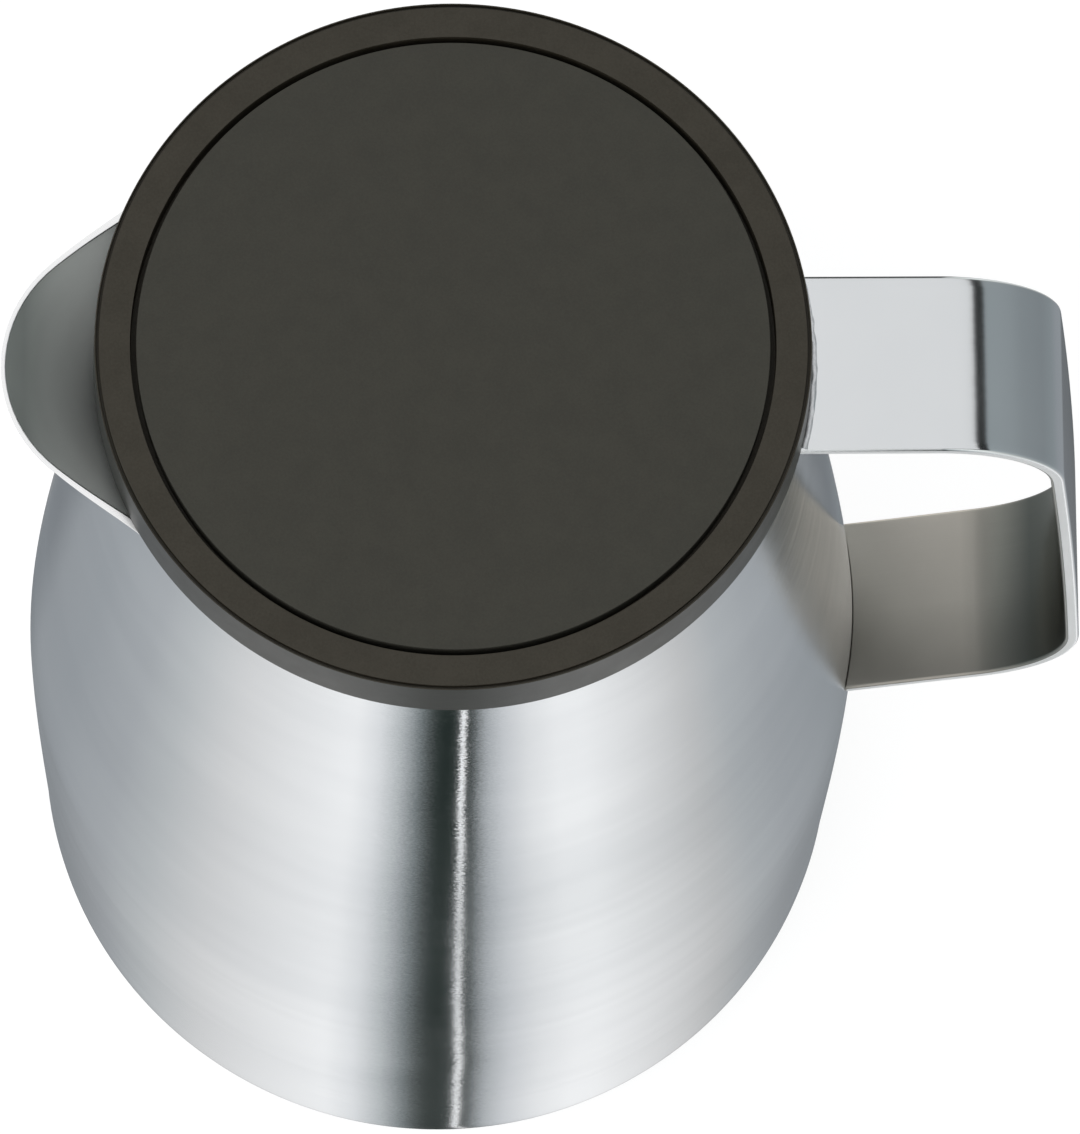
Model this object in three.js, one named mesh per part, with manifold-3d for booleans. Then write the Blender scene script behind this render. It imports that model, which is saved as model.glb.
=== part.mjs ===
// Insulated steel jug with a screw lid, a pouring spout and a strip handle.
// Millimetres, +Z up. The origin is on the jug's axis, on the surface that it stands on.
// The spout points to -X and the handle to +X.
import * as THREE from "three";
import { mergeVertices } from "three/addons/utils/BufferGeometryUtils.js";
import Module from "manifold-3d";

// Clearances
const JOIN_GAP = 0.3; // between pieces that are welded, pressed or laid together
const RIM_GAP = 0.3; // between the closed lid and the rim
const THREAD_PLAY = 0.3; // between the closed lid's thread and the neck's
const TIP_PLAY = 0.6; // between a thread's tip and the wall that it faces

// Body
const RIM_HEIGHT = 216.1;
const RIM_RADIUS = 48.3;
const SHOULDER_FLARE = 3; // how far the outline leans out below the rim
const SHOULDER_DEPTH = 38.6; // over this depth
const BODY_RADIUS = 61.6; // at the widest level
const BELLY_HEIGHT = 79; // height of the widest level
const BELLY_PULL = 28.4; // stretch over which the outline stays near its widest
const FOOT_RADIUS = 60.4; // where the rounding of the foot starts
const FOOT_CORNER = 12; // radius of that rounding
const FOOT_LIFT = 0.5; // the steel ends this far above the table
const FOOT_LIP = 2.4; // width of the flat lip round the base pad
const SHELL_WALL = 0.8;
const SEAM_DROP = 20.1; // from the rim down to the seam where the collar is welded onto the shell

// Collar with the spout
const COLLAR_WALL = 1;
const SPOUT_REACH = 63.3; // from the axis to the tip of the lip
const SPOUT_TIP_RADIUS = 19.7; // rounding of the lip, seen from above
const SPOUT_HOLLOW = 1.1; // how far the lip's sides curve in on their way to the rim

// Vacuum flask
const VACUUM_GAP = 4.5;
const FLASK_WALL = 0.8;
const NECK_RADIUS = 39;
const NECK_DROP = 22.1; // from the rim down to the neck's upper edge
const NECK_DEPTH = 16;
const BASIN_RISE = 4; // the basin's floor climbs this much from the neck to the collar
const FLASK_SHOULDER = 18; // height of the curve from the neck to the flask's wall
const FLASK_END = 17; // height of the flask wall's lower edge
const FLASK_CAP_LAP = 6; // how far the flask's bottom reaches up inside its wall
const FLASK_CAP_CORNER = 5;
const FLASK_CAP_DISH = 1.2;
const FOIL_WALL = 0.3;
const BOTTOM_WALL = 0.8;
const BOTTOM_FLANGE = 3.5;
const BOTTOM_STEP = 7; // width of the slope inside the flange
const BOTTOM_RISE = 3.4; // height of that slope
const BOTTOM_DISH = 1.2;
const PORT_RADIUS = 1.5; // hole that the vacuum is drawn through
const BEAD_HEAD_RADIUS = 3.5;
const BEAD_HEAD = 1.1;
const GETTER_RADIUS = 4;
const GETTER_HEIGHT = 1.6;
const GETTER_PLACE = 22; // from the axis
const HOLDER_WALL = 0.6;

// Base pad
const PAD_SOLE = 1.6; // thickness below the lip
const PAD_FLANGE = 1.2; // thickness above the lip
const PAD_FLANGE_LAP = 2; // how far the flange reaches over the lip

// Handle
const HANDLE_WIDTH = 25.6;
const HANDLE_THICKNESS = 2;
const HANDLE_REACH = 84.6; // from the axis to the upper corner of the strip's outer face
const HANDLE_DROP = 109.5; // from the upper corner to the lower one
const HANDLE_LEAN = THREE.MathUtils.degToRad(5.4); // the grip leans out on its way down
const LOWER_ARM_SLOPE = THREE.MathUtils.degToRad(26);
const UPPER_BEND = 17.5; // outer radius of the upper bend
const LOWER_BEND = 20; // outer radius of the lower bend

// Lid
const LID_RADIUS = 50;
const LID_DRAFT = 0.3; // the lid is this much wider at its lower edge
const LID_HEIGHT = 9.6;
const LID_FILLET = 0.8;
const LID_SKIRT = 2.8;
const LID_WEB = 2;
const RECESS_RADIUS = 45.3;
const RECESS_DEPTH = 3.6;
const DISC_GROOVE = 1.2; // open groove between the disc and the rim round it
const DISC_THICKNESS = 1.8;
const DISC_FOOT = 1.8; // width of the ring that the disc stands on

// Stopper
const STOPPER_WALL = 1.7;
const STOPPER_DEPTH = 13.5; // below the neck's upper edge
const STOPPER_PLATE = 3;
const CAP_THICKNESS = 1.7;
const CAP_SPIGOT = 3.5;
const SEAL_LAP = 3; // how far the seal reaches over the basin's floor
const SEAL_HEIGHT = 4;
const SEAL_FLANGE = 2;
const SCREW_COUNT = 3;
const SCREW_CIRCLE = 20;
const SCREW_RADIUS = 1.25;
const SCREW_HEAD_RADIUS = 2.6;
const SCREW_HEAD = 1.1;
const SCREW_BITE = 2.2; // depth in the stopper's top plate

// Thread of the lid in the neck
const THREAD_STARTS = 4;
const THREAD_LEAD = 26; // rise in one turn
const RIB_ROOT = 2.2;
const RIB_TIP = 1.4;
const RIB_SINK = 0.4; // how far a rib is rooted in its wall
const RIB_HEIGHT = 1.8;
const NECK_RIB_SWEEP = THREE.MathUtils.degToRad(70);
const STOPPER_RIB_SWEEP = THREE.MathUtils.degToRad(60);
const NECK_RIB_DROP = 8.5; // from the neck's upper edge to the lower end of its ribs

// Fineness of the round pieces
const VISIBLE_SIDES = 48;
const HIDDEN_SIDES = 36;
const SMALL_SIDES = 18;
const SPOUT_FAN = THREE.MathUtils.degToRad(60); // half of the angle that the spout's fine points cover

// Places worked out from the sizes above
const LID_BOTTOM = RIM_HEIGHT + RIM_GAP;
const LID_TOP = LID_BOTTOM + LID_HEIGHT;
const RECESS_FLOOR = LID_TOP - RECESS_DEPTH;
const WEB_UNDERSIDE = RECESS_FLOOR - LID_WEB;
const SEAM_HEIGHT = RIM_HEIGHT - SEAM_DROP;
const NECK_TOP = RIM_HEIGHT - NECK_DROP;
const NECK_BOTTOM = NECK_TOP - NECK_DEPTH;
const COLLAR_FOOT = SEAM_HEIGHT + JOIN_GAP;
const STOPPER_RADIUS = NECK_RADIUS - TIP_PLAY - RIB_HEIGHT;
const STOPPER_BORE = STOPPER_RADIUS - STOPPER_WALL;
const STOPPER_TOP = WEB_UNDERSIDE - JOIN_GAP;
const STOPPER_BOTTOM = NECK_TOP - STOPPER_DEPTH;
const SEAL_RADIUS = NECK_RADIUS + SEAL_LAP;
const SEAL_TOP = NECK_TOP + JOIN_GAP + SEAL_HEIGHT;
const PAD_RADIUS = FOOT_RADIUS - FOOT_CORNER - FOOT_LIP - JOIN_GAP;

const wasm = await Module();
wasm.setup();

const point = (radius, height) => new THREE.Vector2(radius, height);

// Joining and cutting

function solidOf(geometry) {
  const bare = geometry.clone();
  bare.deleteAttribute("normal");
  bare.deleteAttribute("uv");
  const merged = mergeVertices(bare, 1e-4);
  const corners = merged.index.array;
  const triangles = [];
  for (let i = 0; i < corners.length; i += 3) {
    const [a, b, c] = corners.slice(i, i + 3);
    if (a !== b && b !== c && c !== a) triangles.push(a, b, c);
  }
  const vertProperties = new Float32Array(merged.attributes.position.array);
  const triVerts = new Uint32Array(triangles);
  return new wasm.Manifold(new wasm.Mesh({ numProp: 3, vertProperties, triVerts }));
}

function geometryOf(solid) {
  const mesh = solid.getMesh();
  const geometry = new THREE.BufferGeometry();
  geometry.setAttribute("position", new THREE.BufferAttribute(mesh.vertProperties, 3));
  geometry.setIndex(new THREE.BufferAttribute(mesh.triVerts, 1));
  geometry.computeVertexNormals();
  return geometry;
}

function joined(geometry, additions) {
  return geometryOf(additions.reduce((solid, extra) => solid.add(solidOf(extra)), solidOf(geometry)));
}

function cut(geometry, cutters) {
  return geometryOf(cutters.reduce((solid, cutter) => solid.subtract(solidOf(cutter)), solidOf(geometry)));
}

// Round pieces and sheet metal

// A closed outline of radius and height, turned round the jug's axis
function turned(outline, sides) {
  const onAxis = outline[0].x === 0;
  const loop = onAxis ? outline.slice() : [...outline, outline[0]];
  if (THREE.ShapeUtils.area(outline) < 0) loop.reverse();
  return new THREE.LatheGeometry(loop, sides).rotateX(Math.PI / 2);
}

// A path moved sideways, to the right of its direction of travel
function moved(path, distance) {
  const rightOf = (a, b) => point(b.y - a.y, a.x - b.x).normalize();
  return path.map((here, i) => {
    const before = i > 0 ? rightOf(path[i - 1], here) : rightOf(here, path[i + 1]);
    const after = i < path.length - 1 ? rightOf(here, path[i + 1]) : before;
    const mitre = before.clone().add(after).divideScalar(1 + before.dot(after));
    const there = here.clone().addScaledVector(mitre, distance);
    if (here.x === 0) there.x = 0;
    return there;
  });
}

// Sheet metal along a path, with its wall to the right of the path
function sheet(path, wall, sides) {
  const outline = [...path, ...moved(path, wall).reverse()];
  return turned(outline, sides);
}

function arc(centre, radius, from, to, steps) {
  return Array.from({ length: steps + 1 }, (_, i) => {
    const angle = from + ((to - from) * i) / steps;
    return point(centre.x + radius * Math.cos(angle), centre.y + radius * Math.sin(angle));
  });
}

function rod(radius, low, high, sides, x = 0, y = 0) {
  const geometry = new THREE.CylinderGeometry(radius, radius, high - low, sides).rotateX(Math.PI / 2);
  return geometry.translate(x, y, (low + high) / 2);
}

// Outline of the body

const shoulderCurve = new THREE.CubicBezierCurve(
  point(RIM_RADIUS, RIM_HEIGHT),
  point(RIM_RADIUS + SHOULDER_FLARE, RIM_HEIGHT - SHOULDER_DEPTH),
  point(BODY_RADIUS, BELLY_HEIGHT + BELLY_PULL),
  point(BODY_RADIUS, BELLY_HEIGHT),
);
const footStart = FOOT_LIFT + FOOT_CORNER;
const bellyCurve = new THREE.CubicBezierCurve(
  point(BODY_RADIUS, BELLY_HEIGHT),
  point(BODY_RADIUS, BELLY_HEIGHT - BELLY_PULL),
  point(FOOT_RADIUS, footStart + BELLY_PULL / 3),
  point(FOOT_RADIUS, footStart),
);

// Share of a falling curve that lies above a height
function shareAbove(curve, height) {
  let low = 0;
  let high = 1;
  for (let i = 0; i < 40; i += 1) {
    const middle = (low + high) / 2;
    if (curve.getPoint(middle).y > height) low = middle;
    else high = middle;
  }
  return low;
}

function bodyRadius(height) {
  const curve = height > BELLY_HEIGHT ? shoulderCurve : bellyCurve;
  return curve.getPoint(shareAbove(curve, height)).x;
}

function bodyPath(top, shoulderSteps, bellySteps, cornerSteps) {
  const start = shareAbove(shoulderCurve, top);
  const path = [];
  for (let i = 0; i < shoulderSteps; i += 1) {
    path.push(shoulderCurve.getPoint(start + ((1 - start) * i) / shoulderSteps));
  }
  for (let i = 0; i < bellySteps; i += 1) path.push(bellyCurve.getPoint(i / bellySteps));
  path.push(...arc(point(FOOT_RADIUS - FOOT_CORNER, footStart), FOOT_CORNER, 0, -Math.PI / 2, cornerSteps));
  return path;
}

// Wall of the flask on the side of the drink
const flaskBore = (height) => bodyRadius(height) - SHELL_WALL - VACUUM_GAP - FLASK_WALL;

// Spout

// Distance from the axis to a drop-shaped outline: a circle with a smaller one at its tip, joined by sides
// that run near their common tangents and curve in a little. The angle is counted from the spout's direction.
function dropRadius(angle, radius, reach, tipRadius, hollow) {
  const centre = reach - tipRadius;
  if (centre <= radius - tipRadius) return radius;
  const tangent = Math.acos((radius - tipRadius) / centre);
  const tipEnd = Math.atan2(tipRadius * Math.sin(tangent), centre + tipRadius * Math.cos(tangent));
  const turn = Math.abs(angle);
  if (turn <= tipEnd) {
    return centre * Math.cos(turn) + Math.sqrt(tipRadius ** 2 - (centre * Math.sin(turn)) ** 2);
  }
  if (turn >= tangent) return radius;
  const share = (turn - tipEnd) / (tangent - tipEnd);
  return radius / Math.cos(tangent - turn) - hollow * Math.sin(Math.PI * share) ** 2;
}

// Angles round the collar, closer together across the spout
function collarAngles() {
  const fine = 24;
  const coarse = 40;
  const rest = 2 * Math.PI - 2 * SPOUT_FAN;
  const across = Array.from({ length: fine }, (_, i) => -SPOUT_FAN + (2 * SPOUT_FAN * i) / fine);
  const round = Array.from({ length: coarse }, (_, i) => SPOUT_FAN + (rest * i) / coarse);
  return [...across, ...round];
}

// Ring of the collar at a height, moved inwards by an inset
function collarRing(height, inset) {
  const share = (height - COLLAR_FOOT) / (RIM_HEIGHT - COLLAR_FOOT);
  const radius = bodyRadius(height);
  const reach = radius + (SPOUT_REACH - RIM_RADIUS) * share ** 2;
  const hollow = SPOUT_HOLLOW * share ** 2;
  return collarAngles().map((angle) => {
    const distance = dropRadius(angle, radius - inset, reach - inset, SPOUT_TIP_RADIUS - inset, hollow);
    return new THREE.Vector3(-distance * Math.cos(angle), -distance * Math.sin(angle), height);
  });
}

// Skin over rings that close on themselves both ways
function wrapped(rings) {
  const count = rings[0].length;
  const triangles = [];
  rings.forEach((_, i) => {
    const next = (i + 1) % rings.length;
    for (let j = 0; j < count; j += 1) {
      const k = (j + 1) % count;
      triangles.push(i * count + j, i * count + k, next * count + k);
      triangles.push(i * count + j, next * count + k, next * count + j);
    }
  });
  const geometry = new THREE.BufferGeometry().setFromPoints(rings.flat());
  geometry.setIndex(triangles);
  geometry.computeVertexNormals();
  return geometry;
}

function pouringCollar() {
  const steps = 6;
  const rise = (RIM_HEIGHT - COLLAR_FOOT) / steps;
  const heights = Array.from({ length: steps + 1 }, (_, i) => COLLAR_FOOT + rise * i);
  const outside = heights.map((height) => collarRing(height, 0));
  const inside = heights.map((height) => collarRing(height, COLLAR_WALL)).reverse();
  return wrapped([...outside, ...inside]);
}

// Thread

// A rib that climbs round the axis, rooted in a wall and pointing out of it
function threadRib(wallRadius, tipRadius, startAngle, sweep, startHeight) {
  const outwards = Math.sign(tipRadius - wallRadius);
  const root = wallRadius - outwards * RIB_SINK;
  const section = [
    [root, -RIB_ROOT / 2],
    [tipRadius, -RIB_TIP / 2],
    [tipRadius, RIB_TIP / 2],
    [root, RIB_ROOT / 2],
  ];
  if (outwards < 0) section.reverse();
  const steps = 9;
  const points = [];
  for (let i = 0; i <= steps; i += 1) {
    const angle = startAngle + (sweep * i) / steps;
    const height = startHeight + (THREAD_LEAD * sweep * i) / steps / (2 * Math.PI);
    section.forEach(([radius, rise]) => {
      points.push(new THREE.Vector3(radius * Math.cos(angle), radius * Math.sin(angle), height + rise));
    });
  }
  const last = steps * 4;
  const triangles = [0, 1, 2, 0, 2, 3, last, last + 2, last + 1, last, last + 3, last + 2];
  for (let i = 0; i < steps; i += 1) {
    for (let j = 0; j < 4; j += 1) {
      const a = i * 4 + j;
      const b = i * 4 + ((j + 1) % 4);
      triangles.push(a, a + 4, b + 4, a, b + 4, b);
    }
  }
  const geometry = new THREE.BufferGeometry().setFromPoints(points);
  geometry.setIndex(triangles);
  return geometry;
}

function threadRibs(wallRadius, tipRadius, sweep, startHeight) {
  return Array.from({ length: THREAD_STARTS }, (_, i) => {
    return threadRib(wallRadius, tipRadius, (2 * Math.PI * i) / THREAD_STARTS, sweep, startHeight);
  });
}

// Pieces of the body

function outerShell() {
  const path = bodyPath(SEAM_HEIGHT, 7, 3, 4);
  path.push(point(FOOT_RADIUS - FOOT_CORNER - FOOT_LIP, FOOT_LIFT));
  return sheet(path, SHELL_WALL, VISIBLE_SIDES);
}

// Floor of the basin round the neck, where it meets the collar
const basinEdge = bodyRadius(NECK_TOP + BASIN_RISE) - COLLAR_WALL - JOIN_GAP;
const basinSlope = BASIN_RISE / (basinEdge - NECK_RADIUS);

const shoulderEnd = NECK_BOTTOM - FLASK_SHOULDER;

function flaskNeck() {
  const shoulder = new THREE.CubicBezierCurve(
    point(NECK_RADIUS, NECK_BOTTOM),
    point(NECK_RADIUS, NECK_BOTTOM - FLASK_SHOULDER / 2),
    point(flaskBore(shoulderEnd), shoulderEnd + FLASK_SHOULDER / 2),
    point(flaskBore(shoulderEnd), shoulderEnd),
  );
  const path = [point(basinEdge, NECK_TOP + BASIN_RISE), point(NECK_RADIUS, NECK_TOP)];
  path.push(...shoulder.getPoints(5));
  const tip = NECK_RADIUS - RIB_HEIGHT;
  const ribs = threadRibs(NECK_RADIUS, tip, NECK_RIB_SWEEP, NECK_TOP - NECK_RIB_DROP);
  return joined(sheet(path, -FLASK_WALL, HIDDEN_SIDES), ribs);
}

const lapTop = FLASK_END + FLASK_CAP_LAP;

// Heights at which the wall changes its slope, from the shoulder down to the bottom's lap
const wallTop = shoulderEnd - JOIN_GAP;
const wallHeights = Array.from({ length: 7 }, (_, i) => wallTop + ((lapTop - wallTop) * i) / 6);

function flaskWall() {
  const path = [...wallHeights, FLASK_END].map((height) => point(flaskBore(height), height));
  return sheet(path, -FLASK_WALL, HIDDEN_SIDES);
}

// Height of the lower face of the flask's bottom at its edge
const flaskFloor = FLASK_END - FLASK_CAP_CORNER;

function flaskBottom() {
  const corner = point(flaskBore(FLASK_END) - JOIN_GAP - FLASK_CAP_CORNER, FLASK_END);
  const path = [point(flaskBore(lapTop) - JOIN_GAP, lapTop)];
  path.push(...arc(corner, FLASK_CAP_CORNER, 0, -Math.PI / 2, 3));
  path.push(point(0, flaskFloor + FLASK_CAP_DISH));
  return sheet(path.reverse(), -FLASK_WALL, HIDDEN_SIDES);
}

// The foil lies along the wall, from the shoulder down to the bottom's lap
function reflectiveFoil() {
  const path = wallHeights.map((height) => point(flaskBore(height), height));
  return sheet(moved(path, -FLASK_WALL - JOIN_GAP), -FOIL_WALL, HIDDEN_SIDES);
}

// Height of the outer bottom's lower face, at the foot of its slope and beside its port
const bottomLow = footStart - BOTTOM_RISE - BOTTOM_FLANGE / 2;
const bottomPort = bottomLow - BOTTOM_DISH;

function outerBottom() {
  const flangeLow = bottomLow + BOTTOM_RISE;
  const radius = bodyRadius(footStart) - SHELL_WALL - 2 * JOIN_GAP;
  const path = [
    point(radius, flangeLow + BOTTOM_FLANGE),
    point(radius, flangeLow),
    point(radius - BOTTOM_STEP, bottomLow),
    point(PORT_RADIUS, bottomPort),
  ];
  return sheet(path, BOTTOM_WALL, HIDDEN_SIDES);
}

// Upper face of the outer bottom at a distance from the axis
function bottomTop(distance) {
  const edge = bodyRadius(footStart) - SHELL_WALL - 2 * JOIN_GAP - BOTTOM_STEP;
  return bottomPort + (BOTTOM_DISH * (distance - PORT_RADIUS)) / (edge - PORT_RADIUS) + BOTTOM_WALL;
}

function sealBead() {
  const stem = PORT_RADIUS - JOIN_GAP;
  const headTop = bottomPort - JOIN_GAP;
  const stemTop = bottomPort + BOTTOM_WALL + JOIN_GAP;
  const outline = [
    point(0, headTop - BEAD_HEAD),
    point(BEAD_HEAD_RADIUS * 0.7, headTop - BEAD_HEAD),
    point(BEAD_HEAD_RADIUS, headTop),
    point(stem, headTop),
    point(stem, stemTop),
    point(0, stemTop),
  ];
  return turned(outline, SMALL_SIDES);
}

// The holder stands on the slightly sloping bottom at its outer side
const holderRadius = GETTER_RADIUS + JOIN_GAP + HOLDER_WALL;
const holderFoot = bottomTop(GETTER_PLACE + holderRadius) + JOIN_GAP;

function getterHolder() {
  const top = holderFoot + HOLDER_WALL + GETTER_HEIGHT;
  const path = [point(0, holderFoot), point(holderRadius, holderFoot), point(holderRadius, top)];
  return sheet(path, -HOLDER_WALL, SMALL_SIDES).translate(GETTER_PLACE, 0, 0);
}

function getterPill() {
  const low = holderFoot + HOLDER_WALL + JOIN_GAP;
  return rod(GETTER_RADIUS, low, low + GETTER_HEIGHT, SMALL_SIDES, GETTER_PLACE);
}

function basePad() {
  const flangeLow = FOOT_LIFT + SHELL_WALL + JOIN_GAP;
  const flangeRadius = PAD_RADIUS + PAD_FLANGE_LAP;
  const outline = [
    point(0, 0),
    point(PAD_RADIUS - PAD_SOLE / 2, 0),
    point(PAD_RADIUS, PAD_SOLE / 2),
    point(PAD_RADIUS, flangeLow),
    point(flangeRadius, flangeLow),
    point(flangeRadius, flangeLow + PAD_FLANGE),
    point(0, flangeLow + PAD_FLANGE),
  ];
  return turned(outline, VISIBLE_SIDES);
}

// Handle

// Corners of the strip's outer face, from inside the collar to inside the shell
function handleCorners() {
  const upper = point(HANDLE_REACH, RIM_HEIGHT);
  const lower = point(HANDLE_REACH + HANDLE_DROP * Math.tan(HANDLE_LEAN), RIM_HEIGHT - HANDLE_DROP);
  const run = lower.x - RIM_RADIUS;
  const end = point(RIM_RADIUS, lower.y - run * Math.tan(LOWER_ARM_SLOPE));
  return [point(RIM_RADIUS / 2, RIM_HEIGHT), upper, lower, end];
}

// Bend between three corners of the outer face: its centre, and the angles where it starts and ends
function bend(before, corner, after, radius) {
  const back = before.clone().sub(corner).normalize();
  const ahead = after.clone().sub(corner).normalize();
  const half = Math.acos(back.dot(ahead)) / 2;
  const middle = back.clone().add(ahead).normalize();
  const centre = corner.clone().addScaledVector(middle, radius / Math.sin(half));
  const tangent = radius / Math.tan(half);
  const start = corner.clone().addScaledVector(back, tangent).sub(centre).angle();
  const end = corner.clone().addScaledVector(ahead, tangent).sub(centre).angle();
  return { centre, radius, start, end };
}

function handleOutline() {
  const [first, upper, lower, last] = handleCorners();
  const bends = [bend(first, upper, lower, UPPER_BEND), bend(upper, lower, last, LOWER_BEND)];
  const inwards = point(-Math.sin(LOWER_ARM_SLOPE), Math.cos(LOWER_ARM_SLOPE));
  const lastInside = last.clone().addScaledVector(inwards, HANDLE_THICKNESS);
  const shape = new THREE.Shape();
  shape.moveTo(first.x, first.y);
  bends.forEach(({ centre, radius, start, end }) => {
    shape.absarc(centre.x, centre.y, radius, start, end, true);
  });
  shape.lineTo(last.x, last.y);
  shape.lineTo(lastInside.x, lastInside.y);
  bends.reverse().forEach(({ centre, radius, start, end }) => {
    shape.absarc(centre.x, centre.y, radius - HANDLE_THICKNESS, end, start, false);
  });
  shape.lineTo(first.x, first.y - HANDLE_THICKNESS);
  return shape;
}

// The body as a full solid, a little larger, to cut the strip's ends to
function bodySpace() {
  const path = moved(bodyPath(RIM_HEIGHT, 12, 4, 4), -JOIN_GAP);
  const above = RIM_HEIGHT + HANDLE_THICKNESS;
  const outline = [point(0, above), point(path[0].x, above), ...path, point(0, path[path.length - 1].y)];
  return turned(outline, VISIBLE_SIDES);
}

function handleStrip() {
  const strip = new THREE.ExtrudeGeometry(handleOutline(), {
    depth: HANDLE_WIDTH,
    bevelEnabled: false,
    curveSegments: 10,
  });
  strip.rotateX(Math.PI / 2).translate(0, HANDLE_WIDTH / 2, 0);
  return cut(strip, [bodySpace()]);
}

// Pieces of the lid

function onScrewCircle(make) {
  return Array.from({ length: SCREW_COUNT }, (_, i) => {
    const angle = (2 * Math.PI * i) / SCREW_COUNT;
    return make(SCREW_CIRCLE * Math.cos(angle), SCREW_CIRCLE * Math.sin(angle));
  });
}

function screwHoles(low, high) {
  const radius = SCREW_RADIUS + JOIN_GAP;
  return onScrewCircle((x, y) => rod(radius, low - 1, high + 1, SMALL_SIDES, x, y));
}

function lidShell() {
  const skirtBore = LID_RADIUS - LID_SKIRT;
  const outline = [
    point(0, WEB_UNDERSIDE),
    point(skirtBore, WEB_UNDERSIDE),
    point(skirtBore, LID_BOTTOM),
    point(LID_RADIUS + LID_DRAFT, LID_BOTTOM),
    ...arc(point(LID_RADIUS - LID_FILLET, LID_TOP - LID_FILLET), LID_FILLET, 0, Math.PI / 2, 3),
    point(RECESS_RADIUS, LID_TOP),
    point(RECESS_RADIUS, RECESS_FLOOR),
    point(0, RECESS_FLOOR),
  ];
  return cut(turned(outline, VISIBLE_SIDES), screwHoles(WEB_UNDERSIDE, RECESS_FLOOR));
}

function lidDisc() {
  const radius = RECESS_RADIUS - DISC_GROOVE;
  const foot = RECESS_FLOOR + JOIN_GAP;
  const outline = [
    point(0, LID_TOP - DISC_THICKNESS),
    point(radius - DISC_FOOT, LID_TOP - DISC_THICKNESS),
    point(radius - DISC_FOOT, foot),
    point(radius, foot),
    point(radius, LID_TOP),
    point(0, LID_TOP),
  ];
  return turned(outline, VISIBLE_SIDES);
}

function stopperBody() {
  const plate = STOPPER_TOP - STOPPER_PLATE;
  const flange = SEAL_TOP + JOIN_GAP;
  const outline = [
    point(0, plate),
    point(STOPPER_BORE, plate),
    point(STOPPER_BORE, STOPPER_BOTTOM),
    point(STOPPER_RADIUS, STOPPER_BOTTOM),
    point(STOPPER_RADIUS, flange),
    point(SEAL_RADIUS, flange),
    point(SEAL_RADIUS, flange + SEAL_FLANGE),
    point(STOPPER_RADIUS, flange + SEAL_FLANGE),
    point(STOPPER_RADIUS, STOPPER_TOP),
    point(0, STOPPER_TOP),
  ];
  const tip = STOPPER_RADIUS + RIB_HEIGHT;
  const ribStart = NECK_TOP - NECK_RIB_DROP - RIB_ROOT - THREAD_PLAY;
  const ribs = threadRibs(STOPPER_RADIUS, tip, STOPPER_RIB_SWEEP, ribStart);
  const threaded = joined(turned(outline, HIDDEN_SIDES), ribs);
  return cut(threaded, screwHoles(plate, STOPPER_TOP));
}

function stopperCap() {
  const top = STOPPER_BOTTOM - JOIN_GAP;
  const spigot = STOPPER_BORE - JOIN_GAP;
  const outline = [
    point(0, top - CAP_THICKNESS),
    point(STOPPER_RADIUS - CAP_THICKNESS / 2, top - CAP_THICKNESS),
    point(STOPPER_RADIUS, top - CAP_THICKNESS / 2),
    point(STOPPER_RADIUS, top),
    point(spigot, top),
    point(spigot, top + CAP_SPIGOT),
    point(0, top + CAP_SPIGOT),
  ];
  return turned(outline, HIDDEN_SIDES);
}

function insulationPlug() {
  const low = STOPPER_BOTTOM - JOIN_GAP + CAP_SPIGOT + JOIN_GAP;
  const high = STOPPER_TOP - STOPPER_PLATE - JOIN_GAP;
  return rod(STOPPER_BORE - JOIN_GAP, low, high, HIDDEN_SIDES);
}

function stopperSeal() {
  const bore = STOPPER_RADIUS + JOIN_GAP;
  const low = NECK_TOP + JOIN_GAP;
  const outline = [
    point(bore, low),
    point(NECK_RADIUS, low),
    point(SEAL_RADIUS, low + SEAL_LAP * basinSlope),
    point(SEAL_RADIUS, SEAL_TOP),
    point(bore, SEAL_TOP),
  ];
  return turned(outline, HIDDEN_SIDES);
}

function lidScrew(x, y) {
  const seat = RECESS_FLOOR + JOIN_GAP;
  const outline = [
    point(0, STOPPER_TOP - SCREW_BITE),
    point(SCREW_RADIUS, STOPPER_TOP - SCREW_BITE),
    point(SCREW_RADIUS, seat),
    point(SCREW_HEAD_RADIUS, seat),
    point(SCREW_HEAD_RADIUS, seat + SCREW_HEAD),
    point(0, seat + SCREW_HEAD),
  ];
  return turned(outline, SMALL_SIDES).translate(x, y, 0);
}

// Materials

function finish(color, roughness, metalness) {
  return () => new THREE.MeshStandardMaterial({ color, roughness, metalness });
}

const brushedSteel = finish(0xc4c8cb, 0.34, 1);
const polishedSteel = finish(0xd2d5d7, 0.2, 1);
const flaskSteel = finish(0xb4b6b4, 0.4, 1);
const copperFoil = finish(0xb9835c, 0.3, 1);
const darkPlastic = finish(0x3d3c36, 0.55, 0);
const rimPlastic = finish(0x3a322b, 0.55, 0);
const innerPlastic = finish(0x2c2b29, 0.5, 0);
const silicone = finish(0x8d8f8c, 0.7, 0);
const foam = finish(0xe6e0cf, 0.9, 0);
const rubber = finish(0x2a2a2a, 0.85, 0);
const zincSteel = finish(0x9a9da0, 0.4, 1);
const getterAlloy = finish(0x6d6c68, 0.6, 1);

// Assembly

function piece(name, geometry, material) {
  const mesh = new THREE.Mesh(geometry, material());
  mesh.name = name;
  return mesh;
}

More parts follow.
